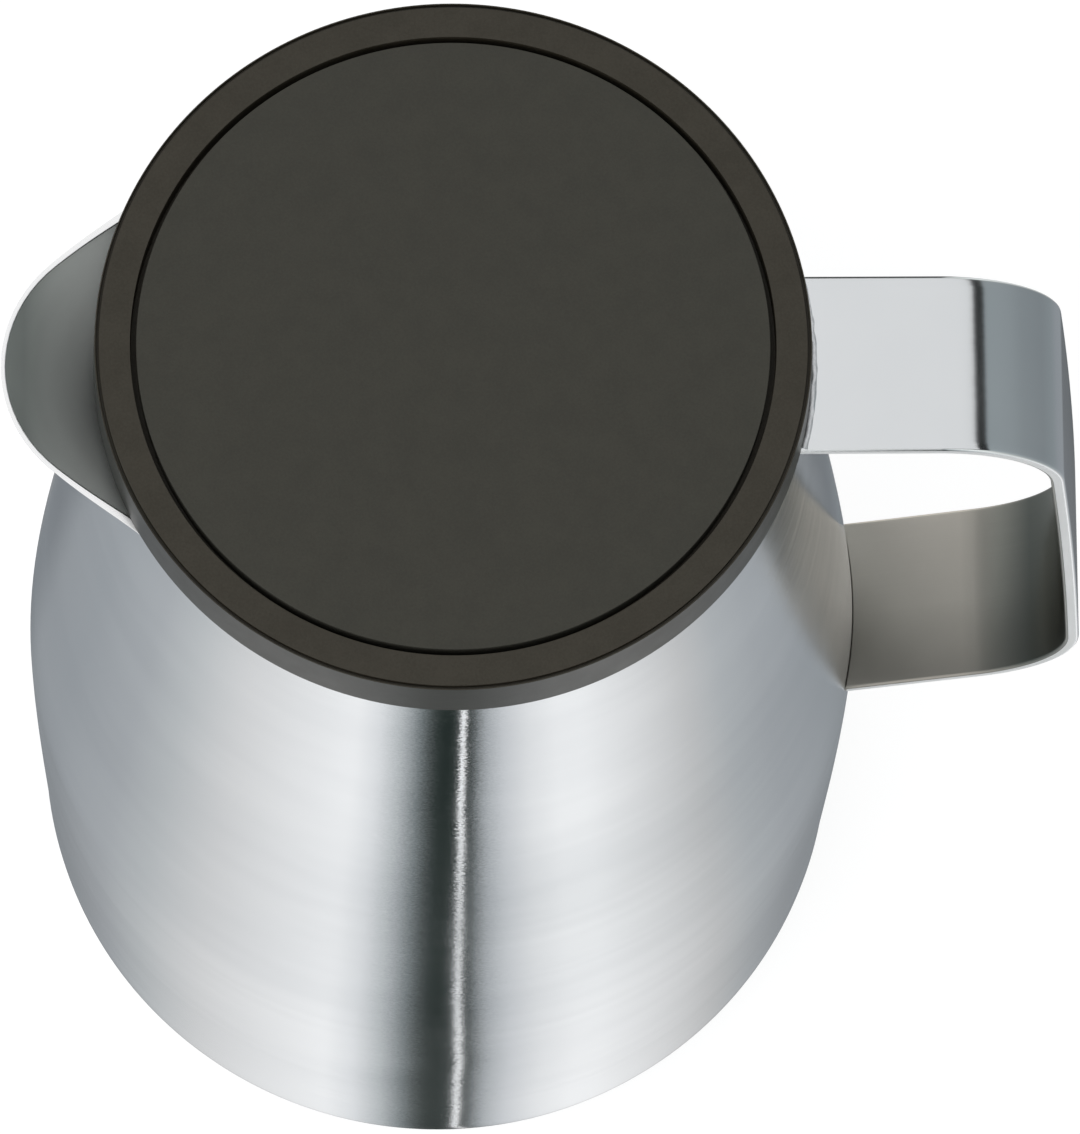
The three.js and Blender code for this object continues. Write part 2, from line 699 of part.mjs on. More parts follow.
const body = new THREE.Group();
body.add(
  piece("outer_shell", outerShell(), brushedSteel),
  piece("pouring_collar", pouringCollar(), brushedSteel),
  piece("flask_neck", flaskNeck(), flaskSteel),
  piece("flask_wall", flaskWall(), flaskSteel),
  piece("flask_bottom", flaskBottom(), flaskSteel),
  piece("reflective_foil", reflectiveFoil(), copperFoil),
  piece("outer_bottom", outerBottom(), flaskSteel),
  piece("vacuum_seal_bead", sealBead(), zincSteel),
  piece("getter_holder", getterHolder(), zincSteel),
  piece("getter_pill", getterPill(), getterAlloy),
  piece("base_pad", basePad(), rubber),
  piece("handle_strip", handleStrip(), polishedSteel),
);

const lid = new THREE.Group();
lid.add(
  piece("lid_shell", lidShell(), rimPlastic),
  piece("lid_disc", lidDisc(), darkPlastic),
  piece("stopper_body", stopperBody(), innerPlastic),
  piece("stopper_cap", stopperCap(), innerPlastic),
  piece("insulation_plug", insulationPlug(), foam),
  piece("stopper_seal", stopperSeal(), silicone),
  ...onScrewCircle(lidScrew).map((geometry, i) => piece(`lid_screw_${i + 1}`, geometry, zincSteel)),
);

const jug = new THREE.Group();
jug.add(body, lid);

export default jug;
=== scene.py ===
# %% [markdown]
# # An insulated steel jug
# The jug has a brushed steel body with a drawn-out pouring lip, a handle bent from one flat strip, and a
# dark screw lid with a stopper under it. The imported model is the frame: it says where each solid sits and
# which body it moves with, so every piece below is drawn straight in its place, in the same frame.

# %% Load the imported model
import math

import bmesh
import bpy
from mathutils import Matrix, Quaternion, Vector, noise
from mathutils.geometry import interpolate_bezier


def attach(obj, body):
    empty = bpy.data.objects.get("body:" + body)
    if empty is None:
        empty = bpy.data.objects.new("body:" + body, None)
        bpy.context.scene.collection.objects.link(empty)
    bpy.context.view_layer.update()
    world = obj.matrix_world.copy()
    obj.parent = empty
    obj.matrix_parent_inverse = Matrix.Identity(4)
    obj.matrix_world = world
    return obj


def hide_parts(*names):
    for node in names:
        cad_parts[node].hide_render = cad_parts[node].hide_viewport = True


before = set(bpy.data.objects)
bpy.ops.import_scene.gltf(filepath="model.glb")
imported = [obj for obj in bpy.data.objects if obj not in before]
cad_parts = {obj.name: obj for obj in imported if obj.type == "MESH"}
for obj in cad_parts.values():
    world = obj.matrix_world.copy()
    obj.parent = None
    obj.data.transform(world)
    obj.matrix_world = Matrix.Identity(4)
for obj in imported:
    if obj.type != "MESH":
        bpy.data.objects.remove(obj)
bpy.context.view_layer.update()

MM = 0.001

# %% [markdown]
# ## Turned pieces
# Most of a jug is round: the body is spun and drawn, the lid is moulded on an axis. So half of a
# cross-section is enough, and a full turn round the Z axis makes the rest. The outline is a chain of
# points in the XZ plane, which runs straight, along a Bezier curve or round an arc. A Screw modifier
# would do the same, but the spin operator leaves a plain mesh that can be bevelled and moved further.

# %% Outlines and turning
FULL_TURN_STEPS = 240
# Points closer than this, in metres, become one where a turn closes
MERGE_DISTANCE = 1e-6
ORIGIN = (0, 0, 0)
X_AXIS, Y_AXIS, Z_AXIS = (1, 0, 0), (0, 1, 0), (0, 0, 1)


class Outline:
    """Half of a round piece's cross-section, from point to point. Distances are in millimetres."""

    def __init__(self, radius, height):
        self.bm = bmesh.new()
        self.first = self.bm.verts.new((radius * MM, 0, height * MM))
        self.last = self.first

    def to(self, *points):
        for radius, height in points:
            vert = self.bm.verts.new((radius * MM, 0, height * MM))
            self.bm.edges.new((self.last, vert))
            self.last = vert
        return self

    def curve(self, first_pull, last_pull, end, steps):
        pulls = (first_pull, last_pull, end)
        knots = [Vector((radius * MM, 0, height * MM)) for radius, height in pulls]
        points = interpolate_bezier(self.last.co, *knots, steps + 1)
        return self.to(*[(point.x / MM, point.z / MM) for point in points[1:]])

    def arc(self, radius, height, degrees, steps):
        made = bmesh.ops.spin(
            self.bm, geom=[self.last], cent=(radius * MM, 0, height * MM), axis=Y_AXIS,
            angle=math.radians(degrees), steps=steps,
        )
        self.last = made["geom_last"][0]
        return self

    def close(self):
        self.bm.edges.new((self.last, self.first))
        return self

    def turned(self, steps=FULL_TURN_STEPS):
        bmesh.ops.spin(
            self.bm, geom=self.bm.verts[:] + self.bm.edges[:], cent=ORIGIN, axis=Z_AXIS,
            angle=math.tau, steps=steps, use_merge=True,
        )
        bmesh.ops.remove_doubles(self.bm, verts=self.bm.verts[:], dist=MERGE_DISTANCE)
        bmesh.ops.recalc_face_normals(self.bm, faces=self.bm.faces[:])
        return self.bm


print("a full turn has", FULL_TURN_STEPS, "steps")

# %% [markdown]
# No real edge is perfectly sharp, and a small round on it catches the light. So each piece has its sharp
# edges bevelled. Then its mesh becomes an object, which is tied to the body that it moves with, and the
# CAD solids that it stands for are hidden. Weighted normals keep the flat faces flat beside the small
# rounds.

# %% Rounded edges and finished pieces
# Edges over this angle stay creases, in degrees
CREASE = 32


def soften(bm, width, sharper_than=40, segments=3, keep=None):
    """Rounds the edges that are sharper than an angle, all of them or those that keep() picks."""
    limit = math.radians(sharper_than)
    edges = [edge for edge in bm.edges if edge.is_manifold and edge.calc_face_angle() > limit]
    if keep:
        edges = [edge for edge in edges if keep(edge)]
    bmesh.ops.bevel(
        bm, geom=edges, offset=width * MM, offset_type="OFFSET", segments=segments, profile=0.5,
        affect="EDGES", clamp_overlap=True, material=-1,
    )
    return bm


def finish_piece(bm, name, finishes, body, slot, *nodes):
    """Makes the mesh an object that moves with a body and hides the CAD nodes that it stands for."""
    mesh = bpy.data.meshes.new(name)
    bm.to_mesh(mesh)
    bm.free()
    mesh.shade_smooth()
    mesh.set_sharp_from_angle(angle=math.radians(CREASE))
    for finish in finishes if isinstance(finishes, tuple) else (finishes,):
        mesh.materials.append(finish)
    made = bpy.data.objects.new(name, mesh)
    bpy.context.collection.objects.link(made)
    flat = made.modifiers.new("even_shading", "WEIGHTED_NORMAL")
    flat.keep_sharp = True
    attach(made, body)
    if nodes:
        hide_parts(*nodes)
    print(name, "rides on", body, "with", len(mesh.polygons), "faces, for", nodes or "no node")
    return made


print("edges over", CREASE, "degrees stay creases")

# %% [markdown]
# ## Finishes
# A finish is a small network of nodes. The first helper adds a node, sets its values and links what is
# already a socket, and the others stand for the nodes that come up often, so that each finish below reads
# as a list of steps. All patterns read Object coordinates, which are metres in the jug's own frame.

# %% Node helpers
def add(tree, kind, inputs=None, **settings):
    made = tree.nodes.new("ShaderNode" + kind)
    for name, value in settings.items():
        setattr(made, name, value)
    for name, value in (inputs or {}).items():
        socket = made.inputs[name]
        if isinstance(value, bpy.types.NodeSocket):
            tree.links.new(value, socket)
        else:
            socket.default_value = value
    return made


def maths(tree, operation, *values):
    return add(tree, "Math", dict(enumerate(values)), operation=operation).outputs[0]


def vectors(tree, operation, *values):
    return add(tree, "VectorMath", dict(enumerate(values)), operation=operation).outputs[0]


def scaled(tree, vector, amount):
    return add(tree, "VectorMath", {0: vector, "Scale": amount}, operation="SCALE").outputs[0]


def blended(tree, share, first, second, blend="MIX"):
    """Mixes two colours, each one a socket or three plain numbers."""
    colours = {"A": first, "B": second}
    inputs = {name: (*value, 1) if isinstance(value, tuple) else value for name, value in colours.items()}
    made = add(tree, "Mix", {"Factor": share, **inputs}, data_type="RGBA", blend_type=blend)
    return made.outputs["Result"]


def spread(tree, value, low, high, low_in=0.3, high_in=0.7):
    """Maps a value from one range to another. Most noise lies in the range that is set here."""
    inputs = {"Value": value, "From Min": low_in, "From Max": high_in, "To Min": low, "To Max": high}
    return add(tree, "MapRange", inputs).outputs["Result"]


def varied(tree, value, middle, share):
    """A number that noise moves up and down by a share of itself."""
    return spread(tree, value, middle * (1 - share), middle * (1 + share))


def noise_on(tree, coordinates, scale, detail=2.0, roughness=0.5):
    """Noise with its own scale along each axis, in features per metre."""
    stretched = vectors(tree, "MULTIPLY", coordinates, scale)
    inputs = {"Vector": stretched, "Scale": 1.0, "Detail": detail, "Roughness": roughness}
    return add(tree, "TexNoise", inputs).outputs["Fac"]


def empty_material(name):
    """A material that holds a Principled shader and its output."""
    material = bpy.data.materials.new(name)
    material.use_nodes = True
    tree = material.node_tree
    tree.nodes.clear()
    output = add(tree, "OutputMaterial")
    shader = add(tree, "BsdfPrincipled")
    tree.links.new(shader.outputs[0], output.inputs["Surface"])
    return material, tree, shader


print("node helpers ready")

# %% [markdown]
# ## Brushed steel
# The body was brushed while it turned, so fine scratches run round it. Such a surface keeps reflections
# sharp along the scratches and smears them across, up and down the body: that is what the shader's
# Anisotropic value does. Its Tangent is the direction of the smear. On a round body that is the meridian,
# the cross product of the direction round the axis with the surface's normal. A Bump node would blur the
# scratches sideways, because it compares neighbouring pixels, so noise tilts the normal instead.

# %% Tilted normals
def tilted(tree, normal, *tilts):
    """Tilts a normal towards each direction by a noise value, half of an amount either way."""
    for toward, value, amount in tilts:
        turn = maths(tree, "MULTIPLY_ADD", value, amount, -0.5 * amount)
        normal = vectors(tree, "ADD", normal, scaled(tree, toward, turn))
    return vectors(tree, "NORMALIZE", normal)


def unit_cross(tree, first, second):
    return vectors(tree, "NORMALIZE", vectors(tree, "CROSS_PRODUCT", first, second))


print("normals tilt by noise")

# %% [markdown]
# The scratches are noise that is very fine in Z and long round the body. A finer noise tilts the normal
# slightly sideways as a sparkle, and a slow one gives the faint waves of drawn sheet. The body's steel can
# be rougher round a belt at half of its height, where the photograph's reflections are softer. The spout's
# inside is a duller sheet. Its colour gets paler away from the tip as painted light, which makes up for
# the shade beside the lid.

# %% Brushed steel of the body
# Features of the noise along each metre of X, Y and Z
SCRATCHES, BANDS, SPECKS, WAVES = (30, 30, 5200), (9, 9, 420), (2400, 2400, 3600), (22, 22, 45)
WIDE_CLOUDS, SMALL_CLOUDS = (14, 14, 30), (30, 30, 140)
# Share by which the roughness changes from band to band
BAND_SHARE = 0.07
# Between these X the painted light on the spout's inside fades in, in metres
SPOUT_DARK, SPOUT_PALE = -0.06, -0.049
# The rougher belt's height and half of its width, in metres
BELT_HEIGHT, BELT_REACH = 0.12, 0.065


def round_brushed_steel(
    name, dark, light, roughness, anisotropy, scratch,
    sparkle=0.036, metallic=1.0, painted_fill=None, clouding=WIDE_CLOUDS, wear=0.0,
):
    material, tree, shader = empty_material(name)
    place = add(tree, "TexCoord").outputs["Object"]
    normal = add(tree, "NewGeometry").outputs["Normal"]
    around = unit_cross(tree, Z_AXIS, place)
    smear = unit_cross(tree, around, normal)
    tree.links.new(smear, shader.inputs["Tangent"])
    scratches = noise_on(tree, place, SCRATCHES, detail=3.0, roughness=0.65)
    bands = noise_on(tree, place, BANDS, detail=2.0)
    clouds = noise_on(tree, place, clouding, detail=3.0)
    specks = noise_on(tree, place, SPECKS, detail=1.0)
    waves = noise_on(tree, place, WAVES, detail=1.0)
    tilts = [(smear, scratches, scratch), (around, specks, sparkle), (around, waves, sparkle / 2)]
    tree.links.new(tilted(tree, normal, *tilts), shader.inputs["Normal"])
    colour = blended(tree, clouds, dark, light)
    # Painted light: the spout's inside gets paler away from the tip, against the shade beside the lid
    if painted_fill:
        inwards = add(tree, "SeparateXYZ", {0: place}).outputs["X"]
        fill_share = spread(tree, inwards, 0.0, 1.0, SPOUT_DARK, SPOUT_PALE)
        colour = blended(tree, fill_share, colour, painted_fill)
    tree.links.new(colour, shader.inputs["Base Color"])
    grade = varied(tree, bands, roughness, BAND_SHARE)
    if wear:
        height = add(tree, "SeparateXYZ", {0: place}).outputs["Z"]
        off_belt = maths(tree, "ABSOLUTE", maths(tree, "SUBTRACT", height, BELT_HEIGHT))
        dulled = spread(tree, off_belt, 1 + wear, 1.0, 0.0, BELT_REACH)
        grade = maths(tree, "MULTIPLY", grade, dulled)
    tree.links.new(grade, shader.inputs["Roughness"])
    shader.inputs["Metallic"].default_value = metallic
    shader.inputs["Anisotropic"].default_value = anisotropy
    print(name, "roughness", roughness, "anisotropy", anisotropy)
    return material


body_steel = round_brushed_steel(
    "body_steel", (0.64, 0.665, 0.69), (0.9, 0.915, 0.93),
    roughness=0.127, anisotropy=1.0, scratch=0.16, wear=0.42,
)
spout_inside = round_brushed_steel(
    "spout_inside", (0.16, 0.18, 0.17), (0.38, 0.41, 0.395),
    roughness=0.6, anisotropy=0.0, scratch=0.05, sparkle=0.03, metallic=0.4,
    painted_fill=(0.95, 0.99, 0.96), clouding=SMALL_CLOUDS,
)
lip_steel = round_brushed_steel(
    "lip_steel", (0.92, 0.925, 0.93), (0.96, 0.96, 0.96), roughness=0.2, anisotropy=0.3, scratch=0.03
)
flask_steel = round_brushed_steel(
    "flask_steel", (0.6, 0.61, 0.6), (0.7, 0.7, 0.68), roughness=0.34, anisotropy=0.8, scratch=0.1
)

# %% [markdown]
# The handle was ground along its length before it was bent. The strip changes direction at each bend, so
# no fixed axis gives the grain's direction: the mesh carries it in an attribute named grain, and the smear
# is across it. The inside of the bends and the grip gets a dark colour, which is painted shade, and the
# inside of the arms is darker towards its front edge, which is painted shade too.

# %% Steel of the handle
GRIND_LINES, GRIND_CLOUDS = (40, 5200, 40), (60, 60, 60)
# Share by which the roughness changes from cloud to cloud
CLOUD_SHARE = 0.08
# Between these X the painted shade of the bends and the grip fades in over the arms' inside, in metres
BEND_SHADE_START, BEND_SHADE_FULL = 0.077, 0.087
# Painted shade: from the front edge to near the strip's middle, in metres along Y, and the colour left at
# the front
FRONT_EDGE, FRONT_END, FRONT_SHADE_SHARE = -0.0128, -0.001, 0.62


def strip_steel(name, dark, light, roughness, anisotropy, scratch, bend_shade=None):
    material, tree, shader = empty_material(name)
    place = add(tree, "TexCoord").outputs["Object"]
    normal = add(tree, "NewGeometry").outputs["Normal"]
    grain = add(tree, "Attribute", attribute_name="grain").outputs["Vector"]
    smear = unit_cross(tree, grain, normal)
    tree.links.new(smear, shader.inputs["Tangent"])
    lines = noise_on(tree, place, GRIND_LINES, detail=3.0, roughness=0.6)
    clouds = noise_on(tree, place, GRIND_CLOUDS, detail=3.0)
    tree.links.new(tilted(tree, normal, (smear, lines, scratch)), shader.inputs["Normal"])
    colour = blended(tree, clouds, dark, light)
    if bend_shade:
        parts = add(tree, "SeparateXYZ", {0: place}).outputs
        # Painted shade: the inside gets darker towards its front edge
        front_shade = spread(tree, parts["Y"], FRONT_SHADE_SHARE, 1.0, FRONT_EDGE, FRONT_END)
        # Painted shade: a dark colour inside the bends and the grip
        bend_shade_share = spread(tree, parts["X"], 0.0, 1.0, BEND_SHADE_START, BEND_SHADE_FULL)
        colour = blended(tree, bend_shade_share, scaled(tree, colour, front_shade), bend_shade)
    tree.links.new(colour, shader.inputs["Base Color"])
    tree.links.new(varied(tree, clouds, roughness, CLOUD_SHARE), shader.inputs["Roughness"])
    shader.inputs["Metallic"].default_value = 1.0
    shader.inputs["Anisotropic"].default_value = anisotropy
    print(name, "roughness", roughness, "anisotropy", anisotropy)
    return material


handle_steel = strip_steel(
    "handle_steel", (0.79, 0.81, 0.825), (0.84, 0.855, 0.865), roughness=0.13, anisotropy=0.9, scratch=0.06
)
handle_inside = strip_steel(
    "handle_inside", (0.65, 0.61, 0.54), (0.745, 0.7, 0.63),
    roughness=0.32, anisotropy=0.8, scratch=0.1, bend_shade=(0.19, 0.2, 0.185),
)
handle_edge = strip_steel(
    "handle_edge", (0.95, 0.955, 0.96), (0.98, 0.98, 0.98), roughness=0.58, anisotropy=0.0, scratch=0.03
)

# %% [markdown]
# ## Moulded plastic, rubber and the hidden metals
# The lid is moulded with a fine eroded grain that scatters light, so it looks dry and dark. Two sizes of
# noise give the grain: the fine one is bump, and both together change the colour a little. A low specular
# level keeps the studio from greying it.

# %% Grained finishes
# A patch is as wide as this many grains
GRAINS_A_PATCH = 14
# Most sums of the two noises lie between these
TONE_LOW, TONE_HIGH = 0.75, 1.25


def grained(name, dark, light, roughness, grain_size, depth, specular=0.5, metallic=0.0):
    """A finish with a grain of a size and a depth in millimetres."""
    material, tree, shader = empty_material(name)
    place = add(tree, "TexCoord").outputs["Object"]
    fine = 1 / (grain_size * MM)
    grain = noise_on(tree, place, (fine,) * 3, detail=3.0, roughness=0.6)
    patches = noise_on(tree, place, (fine / GRAINS_A_PATCH,) * 3, detail=4.0, roughness=0.6)
    tone = spread(tree, maths(tree, "ADD", grain, patches), 0.0, 1.0, TONE_LOW, TONE_HIGH)
    bump = add(tree, "Bump", {"Height": grain, "Strength": 1.0, "Distance": depth * MM})
    tree.links.new(bump.outputs[0], shader.inputs["Normal"])
    tree.links.new(blended(tree, tone, dark, light), shader.inputs["Base Color"])
    tree.links.new(varied(tree, patches, roughness, CLOUD_SHARE), shader.inputs["Roughness"])
    shader.inputs["Metallic"].default_value = metallic
    shader.inputs["Specular IOR Level"].default_value = specular
    print(name, "grain of", grain_size, "mm")
    return material


lid_rim_plastic = grained(
    "lid_rim_plastic", (0.031, 0.0265, 0.0175), (0.043, 0.0375, 0.027),
    roughness=0.5, grain_size=0.35, depth=0.02, specular=0.32,
)
lid_disc_plastic = grained(
    "lid_disc_plastic", (0.044, 0.0425, 0.0345), (0.053, 0.051, 0.0415),
    roughness=0.62, grain_size=0.3, depth=0.02, specular=0.22,
)
# The lid's side: a smoother copy of the ring's plastic, made darker as painted shade
lid_side_shaded_plastic = grained(
    "lid_side_shaded_plastic", (0.022, 0.0228, 0.0192), (0.029, 0.03, 0.0256),
    roughness=0.38, grain_size=0.35, depth=0.012, specular=0.27,
)
stopper_plastic = grained(
    "stopper_plastic", (0.018, 0.018, 0.016), (0.024, 0.024, 0.021),
    roughness=0.45, grain_size=0.5, depth=0.01, specular=0.35,
)
pad_rubber = grained(
    "pad_rubber", (0.018, 0.018, 0.018), (0.026, 0.026, 0.026),
    roughness=0.85, grain_size=0.5, depth=0.03, specular=0.2,
)
silicone = grained(
    "silicone", (0.25, 0.255, 0.25), (0.29, 0.295, 0.29),
    roughness=0.6, grain_size=0.6, depth=0.01, specular=0.35,
)
foam = grained(
    "foam", (0.72, 0.68, 0.55), (0.84, 0.8, 0.68), roughness=0.95, grain_size=0.8, depth=0.2, specular=0.1
)
copper_foil = grained(
    "copper_foil", (0.55, 0.26, 0.13), (0.68, 0.36, 0.2),
    roughness=0.3, grain_size=3.0, depth=0.1, metallic=1.0,
)
plated_steel = grained(
    "plated_steel", (0.3, 0.32, 0.34), (0.4, 0.41, 0.42),
    roughness=0.4, grain_size=0.4, depth=0.01, metallic=1.0,
)
weld_steel = grained(
    "weld_steel", (0.62, 0.64, 0.66), (0.86, 0.87, 0.88),
    roughness=0.34, grain_size=0.6, depth=0.05, metallic=1.0,
)
getter_alloy = grained(
    "getter_alloy", (0.13, 0.13, 0.125), (0.2, 0.195, 0.18),
    roughness=0.7, grain_size=0.25, depth=0.05, metallic=1.0,
)

# %% [markdown]
# ## Body and spout
# One skin stands for the shell and the collar, because on the real jug their weld is ground flush and
# can't be seen. The outline falls from the rim in one long curve to the belly, then to a rounded foot.

# %% Outline of the body
RIM_RADIUS, RIM_HEIGHT = 48.3, 216.1
BELLY_RADIUS, BELLY_HEIGHT = 61.6, 79.0
FOOT_RADIUS, FOOT_HEIGHT, FOOT_ROUNDING = 60.4, 12.5, 12.0
# The curves' pulls: radius and height at the shoulder, and heights above and below the belly
SHOULDER_PULL = (51.3, 177.5)
BELLY_PULL, WAIST_PULL, FOOT_PULL = 107.4, 50.6, 21.97

outline = Outline(RIM_RADIUS, RIM_HEIGHT)
belly, foot = (BELLY_RADIUS, BELLY_HEIGHT), (FOOT_RADIUS, FOOT_HEIGHT)
outline.curve(SHOULDER_PULL, (BELLY_RADIUS, BELLY_PULL), belly, steps=90)
outline.curve((BELLY_RADIUS, WAIST_PULL), (FOOT_RADIUS, FOOT_PULL), foot, steps=20)
outline.arc(FOOT_RADIUS - FOOT_ROUNDING, FOOT_HEIGHT, degrees=90, steps=12)
wall_points = [(vert.co.z / MM, vert.co.x / MM) for vert in outline.bm.verts]


def body_radius(height):
    """Radius of the body at a height, between the outline's points."""
    for (high, above), (low, below) in zip(wall_points, wall_points[1:]):
        if low <= height <= high:
            return below + (above - below) * (height - low) / (high - low)
    return RIM_RADIUS


print("body outline of", len(wall_points), "points")

# %% [markdown]
# The spout is drawn out of the round: above the collar's foot each ring becomes a drop, a circle with a
# smaller circle at its tip and slightly hollow sides between them. Sculpting it would be less even, and a
# lattice would bend the round part too.

# %% Drop shape of the spout
COLLAR_FOOT = 196.3
SPOUT_REACH, SPOUT_TIP, SPOUT_HOLLOW = 63.3, 19.7, 1.1
# The skin turns in under the foot and ends at this radius and height
SKIN_END = (46, 0.5)


def drop_radius(turn, radius, reach, hollow):
    """Distance to the drop's edge at an angle from the spout's direction."""
    centre = reach - SPOUT_TIP
    if centre <= radius - SPOUT_TIP:
        return radius
    tangent = math.acos((radius - SPOUT_TIP) / centre)
    tip_end = math.atan2(SPOUT_TIP * math.sin(tangent), centre + SPOUT_TIP * math.cos(tangent))
    if turn <= tip_end:
        return centre * math.cos(turn) + math.sqrt(SPOUT_TIP**2 - (centre * math.sin(turn)) ** 2)
    if turn >= tangent:
        return radius
    share = (turn - tip_end) / (tangent - tip_end)
    return radius / math.cos(tangent - turn) - hollow * math.sin(math.pi * share) ** 2


skin = outline.to(SKIN_END).turned()
for vert in skin.verts:
    height = vert.co.z / MM
    if height > COLLAR_FOOT:
        rise = ((height - COLLAR_FOOT) / (RIM_HEIGHT - COLLAR_FOOT)) ** 2
        radius = math.hypot(vert.co.x, vert.co.y) / MM
        turn = abs(math.atan2(vert.co.y, -vert.co.x))
        reach = radius + (SPOUT_REACH - RIM_RADIUS) * rise
        vert.co.xy *= drop_radius(turn, radius, reach, SPOUT_HOLLOW * rise) / radius
print("spout drawn out to", SPOUT_REACH, "mm")

# %% [markdown]
# The sheet then gets its thickness. Its lip is broader beside the lid than at the tip, so each point of the
# rim's inner edge is set to the width there, and both edges are rounded.

# %% Thickness and lip
SKIN_WALL = 0.9
# The lip's width beside the lid and at the tip, the round on its edges, and the least angle of those edges
LIP_WIDE, LIP_TIP, LIP_ROUNDING, LIP_EDGE = 1.5, 0.65, 0.13, 10
# The rim is flat to within this, in millimetres
RIM_SLACK = 0.01
# A face whose normal points inwards at least this much is inside
INWARDS = -0.15
SKIN_INSIDE, SKIN_LIP = 1, 2

rim = [vert for vert in skin.verts if vert.co.z > (RIM_HEIGHT - RIM_SLACK) * MM]
outer_side = set(skin.verts)
bmesh.ops.solidify(skin, geom=skin.faces[:], thickness=SKIN_WALL * MM)
bmesh.ops.recalc_face_normals(skin, faces=skin.faces[:])
inner_rim = []
for outer in rim:
    beside = [edge.other_vert(outer) for edge in outer.link_edges]
    inner = next(vert for vert in beside if vert not in outer_side)
    inner_rim.append(inner)
    out_share = max(0.0, (outer.co.xy.length / MM - RIM_RADIUS) / (SPOUT_REACH - RIM_RADIUS))
    width = LIP_WIDE + (LIP_TIP - LIP_WIDE) * out_share
    inner.co.xy = outer.co.xy + (inner.co - outer.co).xy.normalized() * width * MM
    inner.co.z = outer.co.z
lip_edges = [set(rim), set(inner_rim)]
soften(skin, LIP_ROUNDING, LIP_EDGE, keep=lambda edge: any(set(edge.verts) <= row for row in lip_edges))
for face in skin.faces:
    middle = face.calc_center_median()
    if middle.z > (RIM_HEIGHT - LIP_ROUNDING - RIM_SLACK) * MM:
        face.material_index = SKIN_LIP
    elif face.normal.xy.dot(middle.xy) < INWARDS * middle.xy.length:
        face.material_index = SKIN_INSIDE
print("lip of", len(rim), "points")
finish_piece(
    skin, "jug_skin", (body_steel, spout_inside, lip_steel), "jug", "body_steel",
    "outer_shell", "pouring_collar",
)

# %% [markdown]
# ## Handle
# The handle is one strip of steel, bent twice and welded to the collar and to the belly. The grip between
# the bends is bowed too, by two degrees only. Each bend starts where the one before it ends, so the centres
# follow from the radii and the angles.

# %% Bends of the handle
BEND_START = Vector((68.2, 0, RIM_HEIGHT))
UPPER_BEND, LOWER_BEND = 18.4, 21.9
GRIP_LENGTH = 80.4
# How far the strip has turned down from level at the grip's two ends and along the lower arm
GRIP_TOP, GRIP_BOTTOM, LOWER_ARM = math.radians(84.3), math.radians(86.3), math.radians(157.6)
GRIP_BOW = GRIP_LENGTH / (GRIP_BOTTOM - GRIP_TOP)


def facing(angle):
    """Outward direction of the strip's outer face, turned from straight up towards the grip."""
    return Vector((math.sin(angle), 0, math.cos(angle)))


def along(angle):
    """Direction in which the strip runs on, where it has turned by an angle."""
    return Vector((math.cos(angle), 0, -math.sin(angle)))


bends = []
bend_from = BEND_START
for radius, begin, end, steps in (
    (UPPER_BEND, 0.0, GRIP_TOP, 32),
    (GRIP_BOW, GRIP_TOP, GRIP_BOTTOM, 12),
    (LOWER_BEND, GRIP_BOTTOM, LOWER_ARM, 28),
):
    centre = bend_from - facing(begin) * radius
    bends.append((centre, begin, end - begin, steps))
    bend_from = centre + facing(end) * radius
print("grip bowed to a radius of", round(GRIP_BOW), "mm, lower bend ends at", tuple(bend_from))

# %% [markdown]
# The strip starts as a row of edges as wide as itself, curved to lie on the collar. The row is pulled out
# straight, spun round the three bends, and then pulled in until it meets the belly. A curve with a flat
# bevel would give the bends too, but not ends that lie on a round body.

# %% The bent strip
HANDLE_WIDTH, WIDTH_CUTS = 25.6, 15
# How deep the strip's ends reach into the body at first, in millimetres
SINK = 0.2
# The lower arm slides to the belly by this step, this many times at most
SLIDE_STEP, SLIDE_STEPS = 0.1, 400


def pulled(bm, row, place):
    """Extrudes a row of edges and puts each new point where place() says."""
    made = bmesh.ops.extrude_edge_only(bm, edges=row)["geom"]
    points = {item for item in made if isinstance(item, bmesh.types.BMVert)}
    for vert in points:
        vert.co = place(vert.co / MM) * MM
    return [item for item in made if isinstance(item, bmesh.types.BMEdge) and set(item.verts) <= points]


def bent(bm, row, centre, angle, steps):
    """Spins a row of edges round a bend and returns the row at its end."""
    points = list({vert for edge in row for vert in edge.verts})
    made = bmesh.ops.spin(
        bm, geom=row + points, cent=centre * MM, axis=Y_AXIS, angle=angle, steps=steps
    )["geom_last"]
    return [item for item in made if isinstance(item, bmesh.types.BMEdge)]


def onto_belly(point):
    """Slides a point of the lower arm along the arm until it meets the body."""
    step = along(LOWER_ARM)
    for _ in range(SLIDE_STEPS):
        if math.hypot(point.x, point.y) <= body_radius(point.z) - SINK:
            return point
        point = point + step * SLIDE_STEP
    return point


strip = bmesh.new()
ends = [strip.verts.new((0, side * HANDLE_WIDTH / 2 * MM, RIM_HEIGHT * MM)) for side in (-1, 1)]
bmesh.ops.subdivide_edges(strip, edges=[strip.edges.new(ends)], cuts=WIDTH_CUTS)
for vert in strip.verts:
    vert.co.x = math.sqrt(((RIM_RADIUS - SINK) * MM) ** 2 - vert.co.y**2)
row = pulled(strip, strip.edges[:], lambda point: Vector((BEND_START.x, point.y, point.z)))
for centre, _, turn, steps in bends:
    row = bent(strip, row, centre, turn, steps)
pulled(strip, row, onto_belly)
bmesh.ops.recalc_face_normals(strip, faces=strip.faces[:])
strip.faces.ensure_lookup_table()
if strip.faces[0].normal.z < 0:
    bmesh.ops.reverse_faces(strip, faces=strip.faces[:])
print("sheet of", len(strip.faces), "faces")

# %% [markdown]
# Thickness and small round edges come last, so they follow the bends. Points of the lower end that lie in
# the belly slide back out along the arm before the edges are rounded.

